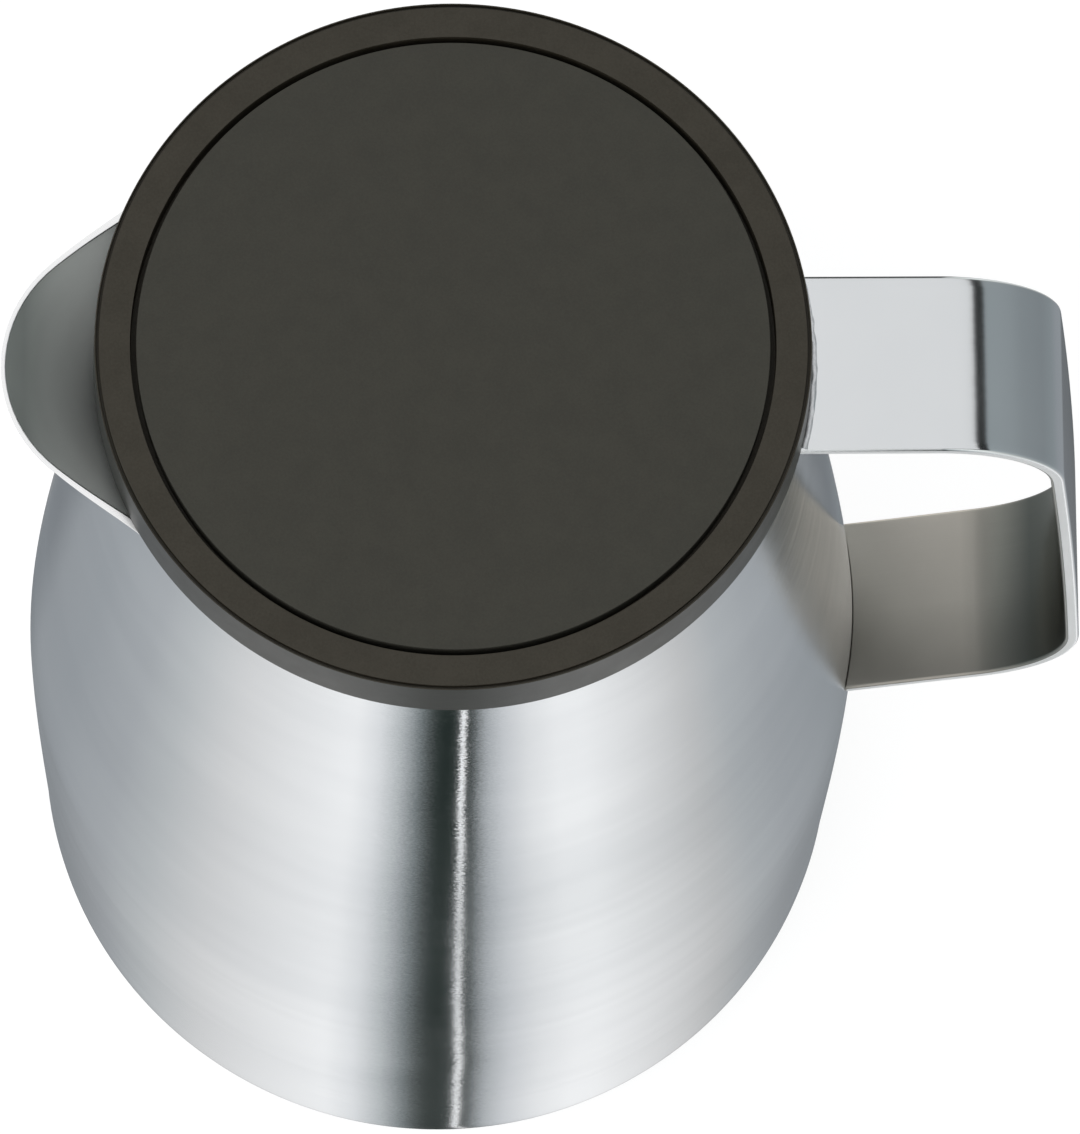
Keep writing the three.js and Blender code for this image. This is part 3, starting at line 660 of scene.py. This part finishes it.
# %% Thickness of the strip
HANDLE_THICKNESS = 2.0
# The round on the strip's edges and on its lower end, and the least angle of those edges
STRIP_ROUNDING, END_ROUNDING, SQUARE_EDGE = 0.45, 0.24, 50
# The lower end lies below this height and stays this far off the belly
LOWER_HALF, END_GAP = 130, 0.02
# Points this close to the belly belong to the end, and a point slides back by this step
END_REACH, BACK_STEP = 0.05, 0.01

bmesh.ops.solidify(strip, geom=strip.faces[:], thickness=HANDLE_THICKNESS * MM)
bmesh.ops.recalc_face_normals(strip, faces=strip.faces[:])


def meets_belly(point):
    return point.z < LOWER_HALF and math.hypot(point.x, point.y) < body_radius(point.z) + END_GAP


for vert in strip.verts:
    while meets_belly(vert.co / MM):
        vert.co -= along(LOWER_ARM) * BACK_STEP * MM
at_belly = {vert for vert in strip.verts if meets_belly(vert.co / MM - Vector((END_REACH, 0, 0)))}
soften(strip, END_ROUNDING, SQUARE_EDGE, keep=lambda edge: set(edge.verts) <= at_belly)
soften(strip, STRIP_ROUNDING, SQUARE_EDGE)
print("strip of", len(strip.faces), "faces")

# %% [markdown]
# The grain attribute holds the strip's direction at each point. Its angle is the sum of what the three
# bends have turned there: round each bend's centre, held between nothing and that bend's whole turn.

# %% Grain along the strip
OUTSIDE, INSIDE, CUT_EDGE = 0, 1, 2
# A face whose normal points sideways by more than this is the strip's cut edge
SIDEWAYS = 0.98


def turned_about(point, centre, start, turn):
    """How much of a bend lies behind a point of the strip."""
    middle = start + turn / 2
    arm = point - centre
    angle = math.atan2(arm.dot(along(middle)), arm.dot(facing(middle)))
    return max(0.0, min(turn, angle + turn / 2))


def strip_angle(point):
    """How far the strip has turned from level at a point, in millimetres."""
    return sum(turned_about(point, centre, begin, turn) for centre, begin, turn, _ in bends)


for face in strip.faces:
    outwards = facing(strip_angle(face.calc_center_median() / MM))
    face.material_index = OUTSIDE if face.normal.dot(outwards) > 0 else INSIDE
    if abs(face.normal.y) > SIDEWAYS:
        face.material_index = CUT_EDGE
handle = finish_piece(
    strip, "handle", (handle_steel, handle_inside, handle_edge), "jug", "handle_steel", "handle_strip"
)
grain = handle.data.attributes.new("grain", "FLOAT_VECTOR", "POINT")
for vert, item in zip(handle.data.vertices, grain.data):
    item.vector = along(strip_angle(vert.co / MM))
print("grain on", len(grain.data), "points")

# %% [markdown]
# ## Weld
# A bright, slightly uneven bead shows where the strip joins the collar. It is a small round section spun
# over the strip's width. Its points then move a little by noise, because a weld is never even. The noise
# has a seed, so that the bead comes out the same each time.

# %% The weld bead
WELD_RADIUS, WELD_SIZE, WELD_FLATNESS = 50.6, 0.55, 0.4
# How far the bead stops short of the strip's edges, and how far its middle lies below the rim's height
WELD_SHORT, WELD_SINK = 0.3, 0.08
WELD_SIDES, WELD_STEPS = 12, 90
# The bead's ripples on each metre, and how far they move a point in millimetres
WELD_RIPPLES, WELD_UNEVEN = 700, 0.1
WELD_SEED = 5


def rotated(bm, verts, axis, angle):
    bmesh.ops.rotate(bm, verts=verts, cent=ORIGIN, matrix=Quaternion(axis, angle).to_matrix())


half_weld = math.asin((HANDLE_WIDTH / 2 - WELD_SHORT) / WELD_RADIUS)
bead = bmesh.new()
bmesh.ops.create_circle(bead, cap_ends=False, segments=WELD_SIDES, radius=WELD_SIZE * MM)
rotated(bead, bead.verts[:], X_AXIS, math.pi / 2)
bmesh.ops.scale(bead, verts=bead.verts[:], vec=(1, 1, WELD_FLATNESS))
bmesh.ops.translate(bead, verts=bead.verts[:], vec=(WELD_RADIUS * MM, 0, (RIM_HEIGHT - WELD_SINK) * MM))
rotated(bead, bead.verts[:], Z_AXIS, -half_weld)
bmesh.ops.spin(
    bead, geom=bead.verts[:] + bead.edges[:], cent=ORIGIN, axis=Z_AXIS, angle=2 * half_weld, steps=WELD_STEPS
)
bmesh.ops.holes_fill(bead, edges=[edge for edge in bead.edges if edge.is_boundary])
bmesh.ops.recalc_face_normals(bead, faces=bead.faces[:])
noise.seed_set(WELD_SEED)
for vert in bead.verts:
    vert.co += noise.noise_vector(vert.co * WELD_RIPPLES) * WELD_UNEVEN * MM
finish_piece(bead, "handle_weld", weld_steel, "jug", "handle_steel")

# %% [markdown]
# ## Lid
# The lid is a moulded ring with a recess, and a thin disc lies in the recess with a narrow groove round it.
# The groove looks almost black in the photograph because it is deep and narrow, so it is real depth here as
# well. A second, finer groove runs close to the ring's outer edge.

# %% Ring of the lid
LID_BOTTOM, LID_TOP = 216.4, 226.0
SKIRT_OUTSIDE, SKIRT_INSIDE = 50.3, 47.2
WEB_BOTTOM, WEB_TOP = 220.4, 222.4
RECESS_RADIUS = 45.05
# The fine groove's two sides and its floor, and the edge outside it, which is a little lower
GROOVE_OUTSIDE, GROOVE_INSIDE, GROOVE_FLOOR = 49.84, 49.42, LID_TOP - 0.9
EDGE_RADIUS, EDGE_TOP = 50.03, LID_TOP - 0.1
RING_ROUNDING = 0.07
# Upright faces outside this radius are the lid's side, which gets a darker copy of the ring's plastic as
# painted shade
SIDE_RADIUS, UPRIGHT = 49.95, 0.5
LID_FLAT, LID_SIDE = 0, 1

lid_ring = Outline(0, WEB_BOTTOM)
lid_ring.to((SKIRT_INSIDE, WEB_BOTTOM), (SKIRT_INSIDE, LID_BOTTOM), (SKIRT_OUTSIDE, LID_BOTTOM))
lid_ring.to((EDGE_RADIUS, EDGE_TOP), (GROOVE_OUTSIDE, EDGE_TOP), (GROOVE_OUTSIDE, GROOVE_FLOOR))
lid_ring.to((GROOVE_INSIDE, GROOVE_FLOOR), (GROOVE_INSIDE, LID_TOP), (RECESS_RADIUS, LID_TOP))
lid_ring.to((RECESS_RADIUS, WEB_TOP), (0, WEB_TOP))
ring = soften(lid_ring.turned(), RING_ROUNDING, segments=2)
for face in ring.faces:
    outside = face.calc_center_median().xy.length > SIDE_RADIUS * MM
    face.material_index = LID_SIDE if outside and abs(face.normal.z) < UPRIGHT else LID_FLAT
finish_piece(
    ring, "lid_rim", (lid_rim_plastic, lid_side_shaded_plastic), "lid", "lid_rim_plastic", "lid_shell"
)

# %% Disc of the lid
DISC_RADIUS, DISC_ROUNDING = 44.2, 0.12
# The disc is hollow underneath: the hollow's radius and ceiling, and the foot of the edge round it
HOLLOW_RADIUS, HOLLOW_CEILING, DISC_FOOT = 42.3, 224.2, 222.7

lid_disc = Outline(0, HOLLOW_CEILING)
lid_disc.to((HOLLOW_RADIUS, HOLLOW_CEILING), (HOLLOW_RADIUS, DISC_FOOT), (DISC_RADIUS, DISC_FOOT))
lid_disc.to((DISC_RADIUS, LID_TOP), (0, LID_TOP))
disc = soften(lid_disc.turned(), DISC_ROUNDING)
finish_piece(disc, "lid_cover", lid_disc_plastic, "lid", "lid_disc_plastic", "lid_disc")

# %% [markdown]
# ## Stopper and neck
# Under the lid a hollow stopper screws into the flask's neck. Its thread has four starts, so the lid opens
# in a short turn. Each rib is a four-cornered section spun round the axis while it climbs, which the spin's
# dvec does.

# %% Thread ribs
THREAD_STARTS, THREAD_LEAD = 4, 26.0
RIB_STEPS = 28
# How deep a rib sits in its wall, and half of its height at the root and at the tip
RIB_SINK, ROOT_HALF, TIP_HALF = 0.4, 1.1, 0.7


def add_ribs(bm, wall, tip, sweep_degrees, start_height):
    """Adds the ribs of a thread to a wall, pointing out of it or into it."""
    root = wall - math.copysign(RIB_SINK, tip - wall)
    section = [(root, -ROOT_HALF), (tip, -TIP_HALF), (tip, TIP_HALF), (root, ROOT_HALF)]
    sweep = math.radians(sweep_degrees)
    climb = THREAD_LEAD * sweep / math.tau / RIB_STEPS
    for start in range(THREAD_STARTS):
        corners = [bm.verts.new((out * MM, 0, (start_height + rise) * MM)) for out, rise in section]
        face = bm.faces.new(corners)
        rotated(bm, corners, Z_AXIS, start * math.tau / THREAD_STARTS)
        before = set(bm.verts) - set(corners)
        bmesh.ops.spin(
            bm, geom=[face, *face.edges, *corners], cent=ORIGIN, axis=Z_AXIS, dvec=(0, 0, climb * MM),
            angle=sweep, steps=RIB_STEPS,
        )
        rib = [vert for vert in bm.verts if vert not in before]
        open_edges = {edge for vert in rib for edge in vert.link_edges if edge.is_boundary}
        if open_edges:
            bmesh.ops.holes_fill(bm, edges=list(open_edges))
        bmesh.ops.recalc_face_normals(bm, faces=list({face for vert in rib for face in vert.link_faces}))
    print("ribs on the wall of", wall, "mm")


print("thread climbs", THREAD_LEAD, "mm a turn")

# %% Stopper
STOPPER_STEPS = 120
STOPPER_RADIUS, STOPPER_BORE = 36.6, 34.9
STOPPER_FOOT, STOPPER_CEILING, STOPPER_TOP = 180.5, 217.1, 220.1
FLANGE_RADIUS, FLANGE_BOTTOM, FLANGE_TOP = 42, 198.6, 200.6
STOPPER_ROUNDING = 0.35

stopper = Outline(0, STOPPER_CEILING)
stopper.to((STOPPER_BORE, STOPPER_CEILING), (STOPPER_BORE, STOPPER_FOOT), (STOPPER_RADIUS, STOPPER_FOOT))
stopper.to((STOPPER_RADIUS, FLANGE_BOTTOM), (FLANGE_RADIUS, FLANGE_BOTTOM), (FLANGE_RADIUS, FLANGE_TOP))
stopper.to((STOPPER_RADIUS, FLANGE_TOP), (STOPPER_RADIUS, STOPPER_TOP), (0, STOPPER_TOP))
stopper_mesh = soften(stopper.turned(STOPPER_STEPS), STOPPER_ROUNDING)
add_ribs(stopper_mesh, STOPPER_RADIUS, tip=38.4, sweep_degrees=60, start_height=183.0)
finish_piece(stopper_mesh, "stopper", stopper_plastic, "lid", "stopper_plastic", "stopper_body")

# %% [markdown]
# A separate floor with a spigot closes the stopper from below, as a moulded tube with a pressed-in floor
# would be made. The seal is a soft ring under the flange, and its lower side slopes as the basin does.

# %% Stopper's floor and seal
FLOOR_BOTTOM, FLOOR_SEAT, FLOOR_TOP = 178.5, 180.2, 183.7
SPIGOT_RADIUS, FLOOR_CHAMFER, FLOOR_ROUNDING = 34.6, 0.85, 0.25
SEAL_INSIDE, SEAL_SLOPE_INSIDE = 36.9, 39
SEAL_BOTTOM, SEAL_SLOPE_TOP, SEAL_TOP = 194.3, 195.54, 198.3
SEAL_ROUNDING, SEAL_EDGE = 0.4, 20

floor_outline = Outline(0, FLOOR_BOTTOM)
floor_outline.to((STOPPER_RADIUS - FLOOR_CHAMFER, FLOOR_BOTTOM))
floor_outline.to((STOPPER_RADIUS, FLOOR_BOTTOM + FLOOR_CHAMFER), (STOPPER_RADIUS, FLOOR_SEAT))
floor_outline.to((SPIGOT_RADIUS, FLOOR_SEAT), (SPIGOT_RADIUS, FLOOR_TOP), (0, FLOOR_TOP))
floor_mesh = soften(floor_outline.turned(STOPPER_STEPS), FLOOR_ROUNDING)
finish_piece(floor_mesh, "stopper_floor", stopper_plastic, "lid", "stopper_plastic", "stopper_cap")

seal_outline = Outline(SEAL_INSIDE, SEAL_BOTTOM)
seal_outline.to((SEAL_SLOPE_INSIDE, SEAL_BOTTOM), (FLANGE_RADIUS, SEAL_SLOPE_TOP))
seal_outline.to((FLANGE_RADIUS, SEAL_TOP), (SEAL_INSIDE, SEAL_TOP)).close()
seal_mesh = soften(seal_outline.turned(STOPPER_STEPS), SEAL_ROUNDING, SEAL_EDGE)
finish_piece(seal_mesh, "seal_ring", silicone, "seal", "silicone", "stopper_seal")

# %% [markdown]
# The flask inside is drawn steel sheet. Its neck carries the thread and spreads into the basin that the
# drink runs over to the spout. It shows when the lid is off, so both the neck and the wall below it are
# smooth turned sheets. The wall follows the body's outline at a fixed distance.

# %% Neck of the flask
FLASK_STEPS = 160
FLASK_INSET, FLASK_WALL = 6.1, 0.8
BASIN_RADIUS, BASIN_TOP = 48.6, 198.0
NECK_RADIUS, NECK_TOP, NECK_BOTTOM = 39, 194, 178
# The neck's foot on the wall, and the height at which its curve is half-way there
NECK_FOOT, NECK_PULL = 160, 169
# The round where the basin meets the neck, and how far off that edge's height it is looked for
NECK_ROUNDING, NECK_EDGE_REACH = 0.5, 1.5


def flask_radius(height):
    return body_radius(height) - FLASK_INSET


def flask_sheet(flask_outline):
    """Turns an outline and gives the sheet its thickness."""
    bm = flask_outline.turned(FLASK_STEPS)
    bmesh.ops.solidify(bm, geom=bm.faces[:], thickness=-FLASK_WALL * MM)
    bmesh.ops.recalc_face_normals(bm, faces=bm.faces[:])
    return bm


def at_neck_top(edge):
    return abs(edge.verts[0].co.z / MM - NECK_TOP) < NECK_EDGE_REACH


neck_end = flask_radius(NECK_FOOT)
neck_outline = Outline(BASIN_RADIUS, BASIN_TOP)
neck_outline.to((NECK_RADIUS, NECK_TOP), (NECK_RADIUS, NECK_BOTTOM))
neck_outline.curve((NECK_RADIUS, NECK_PULL), (neck_end, NECK_PULL), (neck_end, NECK_FOOT), steps=14)
neck_mesh = soften(flask_sheet(neck_outline), NECK_ROUNDING, keep=at_neck_top)
add_ribs(neck_mesh, NECK_RADIUS, tip=37.2, sweep_degrees=70, start_height=185.5)
finish_piece(neck_mesh, "flask_neck_sheet", flask_steel, "jug", "flask_steel", "flask_neck")

# %% Wall of the flask
# The wall is drawn through evenly spaced rings from its top, and then to the bend above its floor
WALL_TOP, WALL_RINGS, RING_DISTANCE = 159.7, 40, 3.5
FLOOR_BEND, FLOOR_BEND_RADIUS, FLOOR_BEND_DEGREES = 17, 5, 88
FLASK_FLOOR = 13.2

wall_heights = [WALL_TOP - RING_DISTANCE * ring_number for ring_number in range(1, WALL_RINGS)]
flask_outline = Outline(flask_radius(WALL_TOP), WALL_TOP)
flask_outline.to(*[(flask_radius(height), height) for height in (*wall_heights, FLOOR_BEND)])
flask_outline.arc(flask_radius(FLOOR_BEND) - FLOOR_BEND_RADIUS, FLOOR_BEND, FLOOR_BEND_DEGREES, steps=8)
flask_outline.to((0, FLASK_FLOOR))
finish_piece(
    flask_sheet(flask_outline), "flask_sheet", flask_steel, "jug", "flask_steel",
    "flask_wall", "flask_bottom",
)

# %% [markdown]
# ## Base pad and the solids that stay
# The jug stands on a soft pad that snaps into the foot. Its sole has a shallow hollow in the middle, as
# such pads have, so that it sticks less to a wet table. The pieces inside the vacuum and the stopper keep
# their CAD solids and only get a finish.

# %% Base pad
PAD_STEPS = 160
# The sole's hollow, and the ring round it that the jug stands on
PAD_HOLLOW_RADIUS, PAD_HOLLOW_HEIGHT = 30, 0.5
SOLE_INSIDE, SOLE_OUTSIDE = 30.6, 44.9
# The pad's side above its slanted edge, and the wider part that snaps in
PAD_RADIUS, PAD_EDGE_HEIGHT = 45.7, 0.8
SNAP_RADIUS, SNAP_BOTTOM, PAD_TOP = 47.7, 1.6, 2.8
PAD_ROUNDING = 0.2

pad_outline = Outline(0, PAD_HOLLOW_HEIGHT)
pad_outline.to((PAD_HOLLOW_RADIUS, PAD_HOLLOW_HEIGHT), (SOLE_INSIDE, 0), (SOLE_OUTSIDE, 0))
pad_outline.to((PAD_RADIUS, PAD_EDGE_HEIGHT), (PAD_RADIUS, SNAP_BOTTOM), (SNAP_RADIUS, SNAP_BOTTOM))
pad_outline.to((SNAP_RADIUS, PAD_TOP), (0, PAD_TOP))
pad_mesh = soften(pad_outline.turned(PAD_STEPS), PAD_ROUNDING)
finish_piece(pad_mesh, "foot_pad", pad_rubber, "jug", "pad_rubber", "base_pad")

# %% Finishes of the solids that stay
kept_finishes = {
    "outer_bottom": flask_steel,
    "reflective_foil": copper_foil,
    "vacuum_seal_bead": plated_steel,
    "getter_holder": plated_steel,
    "getter_pill": getter_alloy,
    "insulation_plug": foam,
    "lid_screw_1": plated_steel,
    "lid_screw_2": plated_steel,
    "lid_screw_3": plated_steel,
}
for node, kept_finish in kept_finishes.items():
    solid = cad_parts[node]
    solid.data.materials.clear()
    solid.data.materials.append(kept_finish)
print("finishes on", len(kept_finishes), "solids")

# %% [markdown]
# ## Studio
# Steel shows what is round it, so the studio is part of the picture. The photograph's jug stood on white
# between two broad soft lights, with a dark gap between them and one thin bright line in the gap: that gap
# makes the dark streak down the front. All of this is drawn in the world shader by direction, so nothing
# stands in the way of the camera from any side, and camera rays simply see white.

# %% Light by direction
def ramp(tree, value, stops):
    """A colour ramp whose stops are given in the value's own units."""
    low, high = stops[0][0], stops[-1][0]
    made = add(tree, "ValToRGB", {"Fac": spread(tree, value, 0.0, 1.0, low, high)})
    elements = made.color_ramp.elements
    while len(elements) < len(stops):
        elements.new(0.5)
    for element, (at, colour) in zip(elements, stops):
        element.position = (at - low) / (high - low)
        element.color = (*colour, 1) if isinstance(colour, tuple) else (colour, colour, colour, 1)
    return made.outputs["Color"]


world = bpy.data.worlds.new("studio")
bpy.context.scene.world = world
world.use_nodes = True
sky = world.node_tree
sky.nodes.clear()
toward = add(sky, "TexCoord").outputs["Generated"]
parts = add(sky, "SeparateXYZ", {0: toward}).outputs
east, north, up = parts["X"], parts["Y"], parts["Z"]
print("world split into east, north and up")

# %% [markdown]
# The lights lie in a fan round one direction, so an angle in the fan picks the panel, the gap or the line.
# The stops were set by comparing the render with the photograph, from the front to either side.

# %% Panels, gap and line
# Stops by the fan's angle in degrees: the panels, what the gap leaves of them, and the bright line
SIDE, COOL = (0.275, 0.297, 0.318), (0.366, 0.39, 0.412)
PANELS = [
    (-180, 0.1), (-174, 0.1), (-166, 0.7), (-150, 0.95), (-128, 0.8), (-105, 0.4), (-95, SIDE),
    (-88, SIDE), (-80, COOL), (-68, COOL), (-54, (0.44, 0.46, 0.48)), (-46, (0.55, 0.57, 0.58)),
    (-35.5, 0.75), (-26, 0.9), (-17.5, 1.02), (20.5, 1.02), (29.3, 0.83), (38.9, 0.61),
    (46, (0.48, 0.5, 0.515)), (54, (0.41, 0.43, 0.45)), (68, COOL), (80, COOL), (88, SIDE), (95, SIDE),
    (105, 0.4), (128, 0.8), (150, 0.95), (166, 0.7), (174, 0.1), (180, 0.1),
]
GAP = [
    (-16, 1.0), (-12.5, (0.85, 0.86, 0.87)), (-9.0, (0.53, 0.555, 0.565)), (-6.2, (0.215, 0.24, 0.245)),
    (-4.6, (0.085, 0.098, 0.097)), (-3.2, (0.03, 0.04, 0.037)), (-2.0, (0.018, 0.027, 0.024)),
    (1.6, (0.02, 0.029, 0.026)), (2.4, (0.085, 0.095, 0.095)), (3.4, (0.26, 0.278, 0.285)),
    (4.7, (0.455, 0.475, 0.49)), (7.4, (0.67, 0.685, 0.705)), (11.5, (0.875, 0.88, 0.885)), (16, 1.0),
]
LINE = [(-4, 0.0), (-0.1, 0.0), (0.05, 1.0), (0.7, 1.0), (0.85, 0.0), (4, 0.0)]
LINE_LEVEL = 1.25
# Stops by how far north: further north the gap is a little wider and less dark
GAP_ANGLE_FACTOR = [(-1, 1.0), (-0.34, 1.0), (-0.26, 0.93), (1, 0.93)]
GAP_ADDED_LIGHT = [(-1, 0.0), (-0.34, 0.0), (-0.26, 0.035), (1, 0.035)]
# Stops by how far up: the gap and the line fade out upwards
GAP_SHARE = [(-1, 1.0), (0.3, 1.0), (0.6, 0.0), (1, 0.0)]
# The direction that the fan spreads from, and the line's own east
GAP_EAST, GAP_NORTH, LINE_EAST = 0.022, 0.2923, 0.028


def fan_degrees(middle):
    """Angle of a direction in the fan of lights, from the fan's middle."""
    aside = maths(sky, "SUBTRACT", east, middle)
    ahead = maths(sky, "SUBTRACT", GAP_NORTH, north)
    return maths(sky, "DEGREES", maths(sky, "ARCTAN2", aside, ahead))


degrees = fan_degrees(GAP_EAST)
panels = ramp(sky, degrees, PANELS)
gap = ramp(sky, maths(sky, "MULTIPLY", degrees, ramp(sky, north, GAP_ANGLE_FACTOR)), GAP)
gap = blended(sky, 1.0, gap, ramp(sky, north, GAP_ADDED_LIGHT), "ADD")
line = ramp(sky, fan_degrees(LINE_EAST), LINE)
lined = blended(sky, line, blended(sky, 1.0, panels, gap, "MULTIPLY"), (LINE_LEVEL,) * 3)
walls = blended(sky, ramp(sky, up, GAP_SHARE), panels, lined)
print("panels of", len(PANELS), "stops and a gap of", len(GAP))

# %% [markdown]
# A panel overhead lights the top of the handle. The handle's bend turns through all heights of the studio,
# so two ramps are there for it: a narrow dark ring under the panel draws the dark line across the handle's
# top, and a slow fall of light shades the bend. They hold on the right side only, where the handle is.

# %% Overhead panel and the handle's bend
# Stops by how far up
OVERHEAD = [(0, 0.0), (0.78, 0.0), (0.79, 1.0), (1, 1.0)]
DARK_RING = [(0, 1.0), (0.675, 1.0), (0.69, 0.03), (0.785, 0.03), (0.797, 1.0), (1, 1.0)]
BEND_FALL = [
    (-1, 1.0), (-0.75, 1.0), (-0.6, (0.87, 0.91, 0.895)), (-0.35, (0.8, 0.825, 0.815)),
    (0.1, (0.865, 0.895, 0.88)), (0.3, (0.95, 0.985, 0.965)), (0.5, (1.0, 1.04, 1.02)),
    (0.66, (1.0, 1.05, 1.03)), (0.7, 1.0), (1, 1.0),
]
# Stops by how far east
TOP_RIGHT = (0.8, 0.805, 0.81)
TOP_PANEL = [(-1, 0.95), (-0.005, 0.95), (0.035, TOP_RIGHT), (1, TOP_RIGHT)]
RIGHT_SIDE = [(-1, 0.0), (0, 0.0), (0.1, 1.0), (1, 1.0)]

studio = blended(sky, ramp(sky, up, OVERHEAD), walls, ramp(sky, east, TOP_PANEL))
right_side = ramp(sky, east, RIGHT_SIDE)
for stops in (DARK_RING, BEND_FALL):
    darkened = blended(sky, 1.0, studio, ramp(sky, up, stops), "MULTIPLY")
    studio = blended(sky, right_side, studio, darkened)
print("studio with an overhead panel and", len(sky.nodes), "nodes")

# %% [markdown]
# The body's outline mirrors the floor just beyond it, away from the camera. There the floor lies in the
# jug's shadow, so the studio gets darker in that direction too.

# %% Shadow and background
SHADOW_SIDE = (0.014, 0.2923, -0.956)
# Stops by how close a direction is to the shadow's
SHADOW = [(0.9, 1.0), (0.94, 1.0), (0.96, 0.86), (0.976, 0.62), (0.99, 0.55), (1, 0.3)]
WHITE = (1, 1, 1)

closeness = add(sky, "VectorMath", {0: toward, 1: SHADOW_SIDE}, operation="DOT_PRODUCT").outputs["Value"]
studio = blended(sky, 1.0, studio, ramp(sky, closeness, SHADOW), "MULTIPLY")
seen = add(sky, "LightPath").outputs["Is Camera Ray"]
background = add(sky, "Background", {"Color": blended(sky, seen, studio, WHITE), "Strength": 1.0})
sky.links.new(background.outputs[0], add(sky, "OutputWorld").inputs["Surface"])
print("studio with", len(sky.nodes), "nodes")

# %% [markdown]
# One large lamp above the front left gives the plain level of light and the soft shadow. It doesn't show in
# the steel, because the world already holds the lights that the steel mirrors.

# %% Lamp
LAMP_SIZE, LAMP_POWER = 1.6, 10.0
LAMP_PLACE, LAMP_AIM = Vector((-0.7, -0.8, 1.8)), Vector((0, 0, 0.1))
lamp_data = bpy.data.lights.new("soft_lamp", "AREA")
lamp_data.shape = "DISK"
lamp_data.size = LAMP_SIZE
lamp_data.energy = LAMP_POWER
lamp = bpy.data.objects.new("soft_lamp", lamp_data)
lamp.location = LAMP_PLACE
lamp.rotation_euler = (LAMP_AIM - LAMP_PLACE).to_track_quat("-Z", "Y").to_euler()
lamp.visible_glossy = False
lamp.visible_camera = False
bpy.context.collection.objects.link(lamp)
print("lamp of", lamp_data.energy, "W")

# %% [markdown]
# The floor is a plain white disc. Part of its white is emission, so that it stays white in the picture, and
# the rest is diffuse, so that the jug keeps a faint shadow. Reflections pass it by and see the studio that
# the world draws.

# %% Floor
FLOOR_RADIUS, FLOOR_SIDES = 4.0, 96
PAPER_GREY, PAPER_GLOW = 0.3, 0.82
floor_disc = bmesh.new()
bmesh.ops.create_circle(floor_disc, cap_ends=True, segments=FLOOR_SIDES, radius=FLOOR_RADIUS)
floor_data = bpy.data.meshes.new("floor")
floor_disc.to_mesh(floor_data)
floor_disc.free()
floor = bpy.data.objects.new("floor", floor_data)
bpy.context.collection.objects.link(floor)
floor.visible_glossy = False
paper = bpy.data.materials.new("white_paper")
paper.use_nodes = True
paper_tree = paper.node_tree
paper_tree.nodes.clear()
matt = add(paper_tree, "BsdfDiffuse", {"Color": (PAPER_GREY, PAPER_GREY, PAPER_GREY, 1)})
glow = add(paper_tree, "Emission", {"Color": (*WHITE, 1), "Strength": PAPER_GLOW})
both = add(paper_tree, "AddShader", {0: matt.outputs[0], 1: glow.outputs[0]})
paper_tree.links.new(both.outputs[0], add(paper_tree, "OutputMaterial").inputs["Surface"])
floor_data.materials.append(paper)
print("floor of", len(floor_data.vertices), "points")

# %% [markdown]
# ## Camera
# The photograph was taken from high in front with a long lens. The camera's place was fitted to the lid's
# circle, the body's outline and the handle. A small roll turns the picture as the photograph is turned.

# %% Camera
CAMERA_PLACE = Vector((-0.0260, -0.54128, 1.99485))
CAMERA_AIM = Vector((0.014218, 0.000985, 0.110))
CAMERA_ROLL = math.radians(3.814)
# Sizes in millimetres, and the distances between which the camera sees, in metres
SENSOR_WIDTH, LENS = 36.0, 421.45
NEAREST, FARTHEST = 0.1, 50.0
camera_data = bpy.data.cameras.new("camera")
camera_data.sensor_width = SENSOR_WIDTH
camera_data.lens = LENS
camera_data.clip_start = NEAREST
camera_data.clip_end = FARTHEST
camera = bpy.data.objects.new("camera", camera_data)
camera.rotation_mode = "QUATERNION"
camera.location = CAMERA_PLACE
look = (CAMERA_AIM - CAMERA_PLACE).to_track_quat("-Z", "Y")
camera.rotation_quaternion = look @ Quaternion(Z_AXIS, CAMERA_ROLL)
bpy.context.collection.objects.link(camera)
bpy.context.scene.camera = camera
bpy.context.scene.view_settings.view_transform = "Standard"
print("camera with a lens of", camera_data.lens, "mm")

# %% [markdown]
# ## End

# %% Finish
print("scene finished")
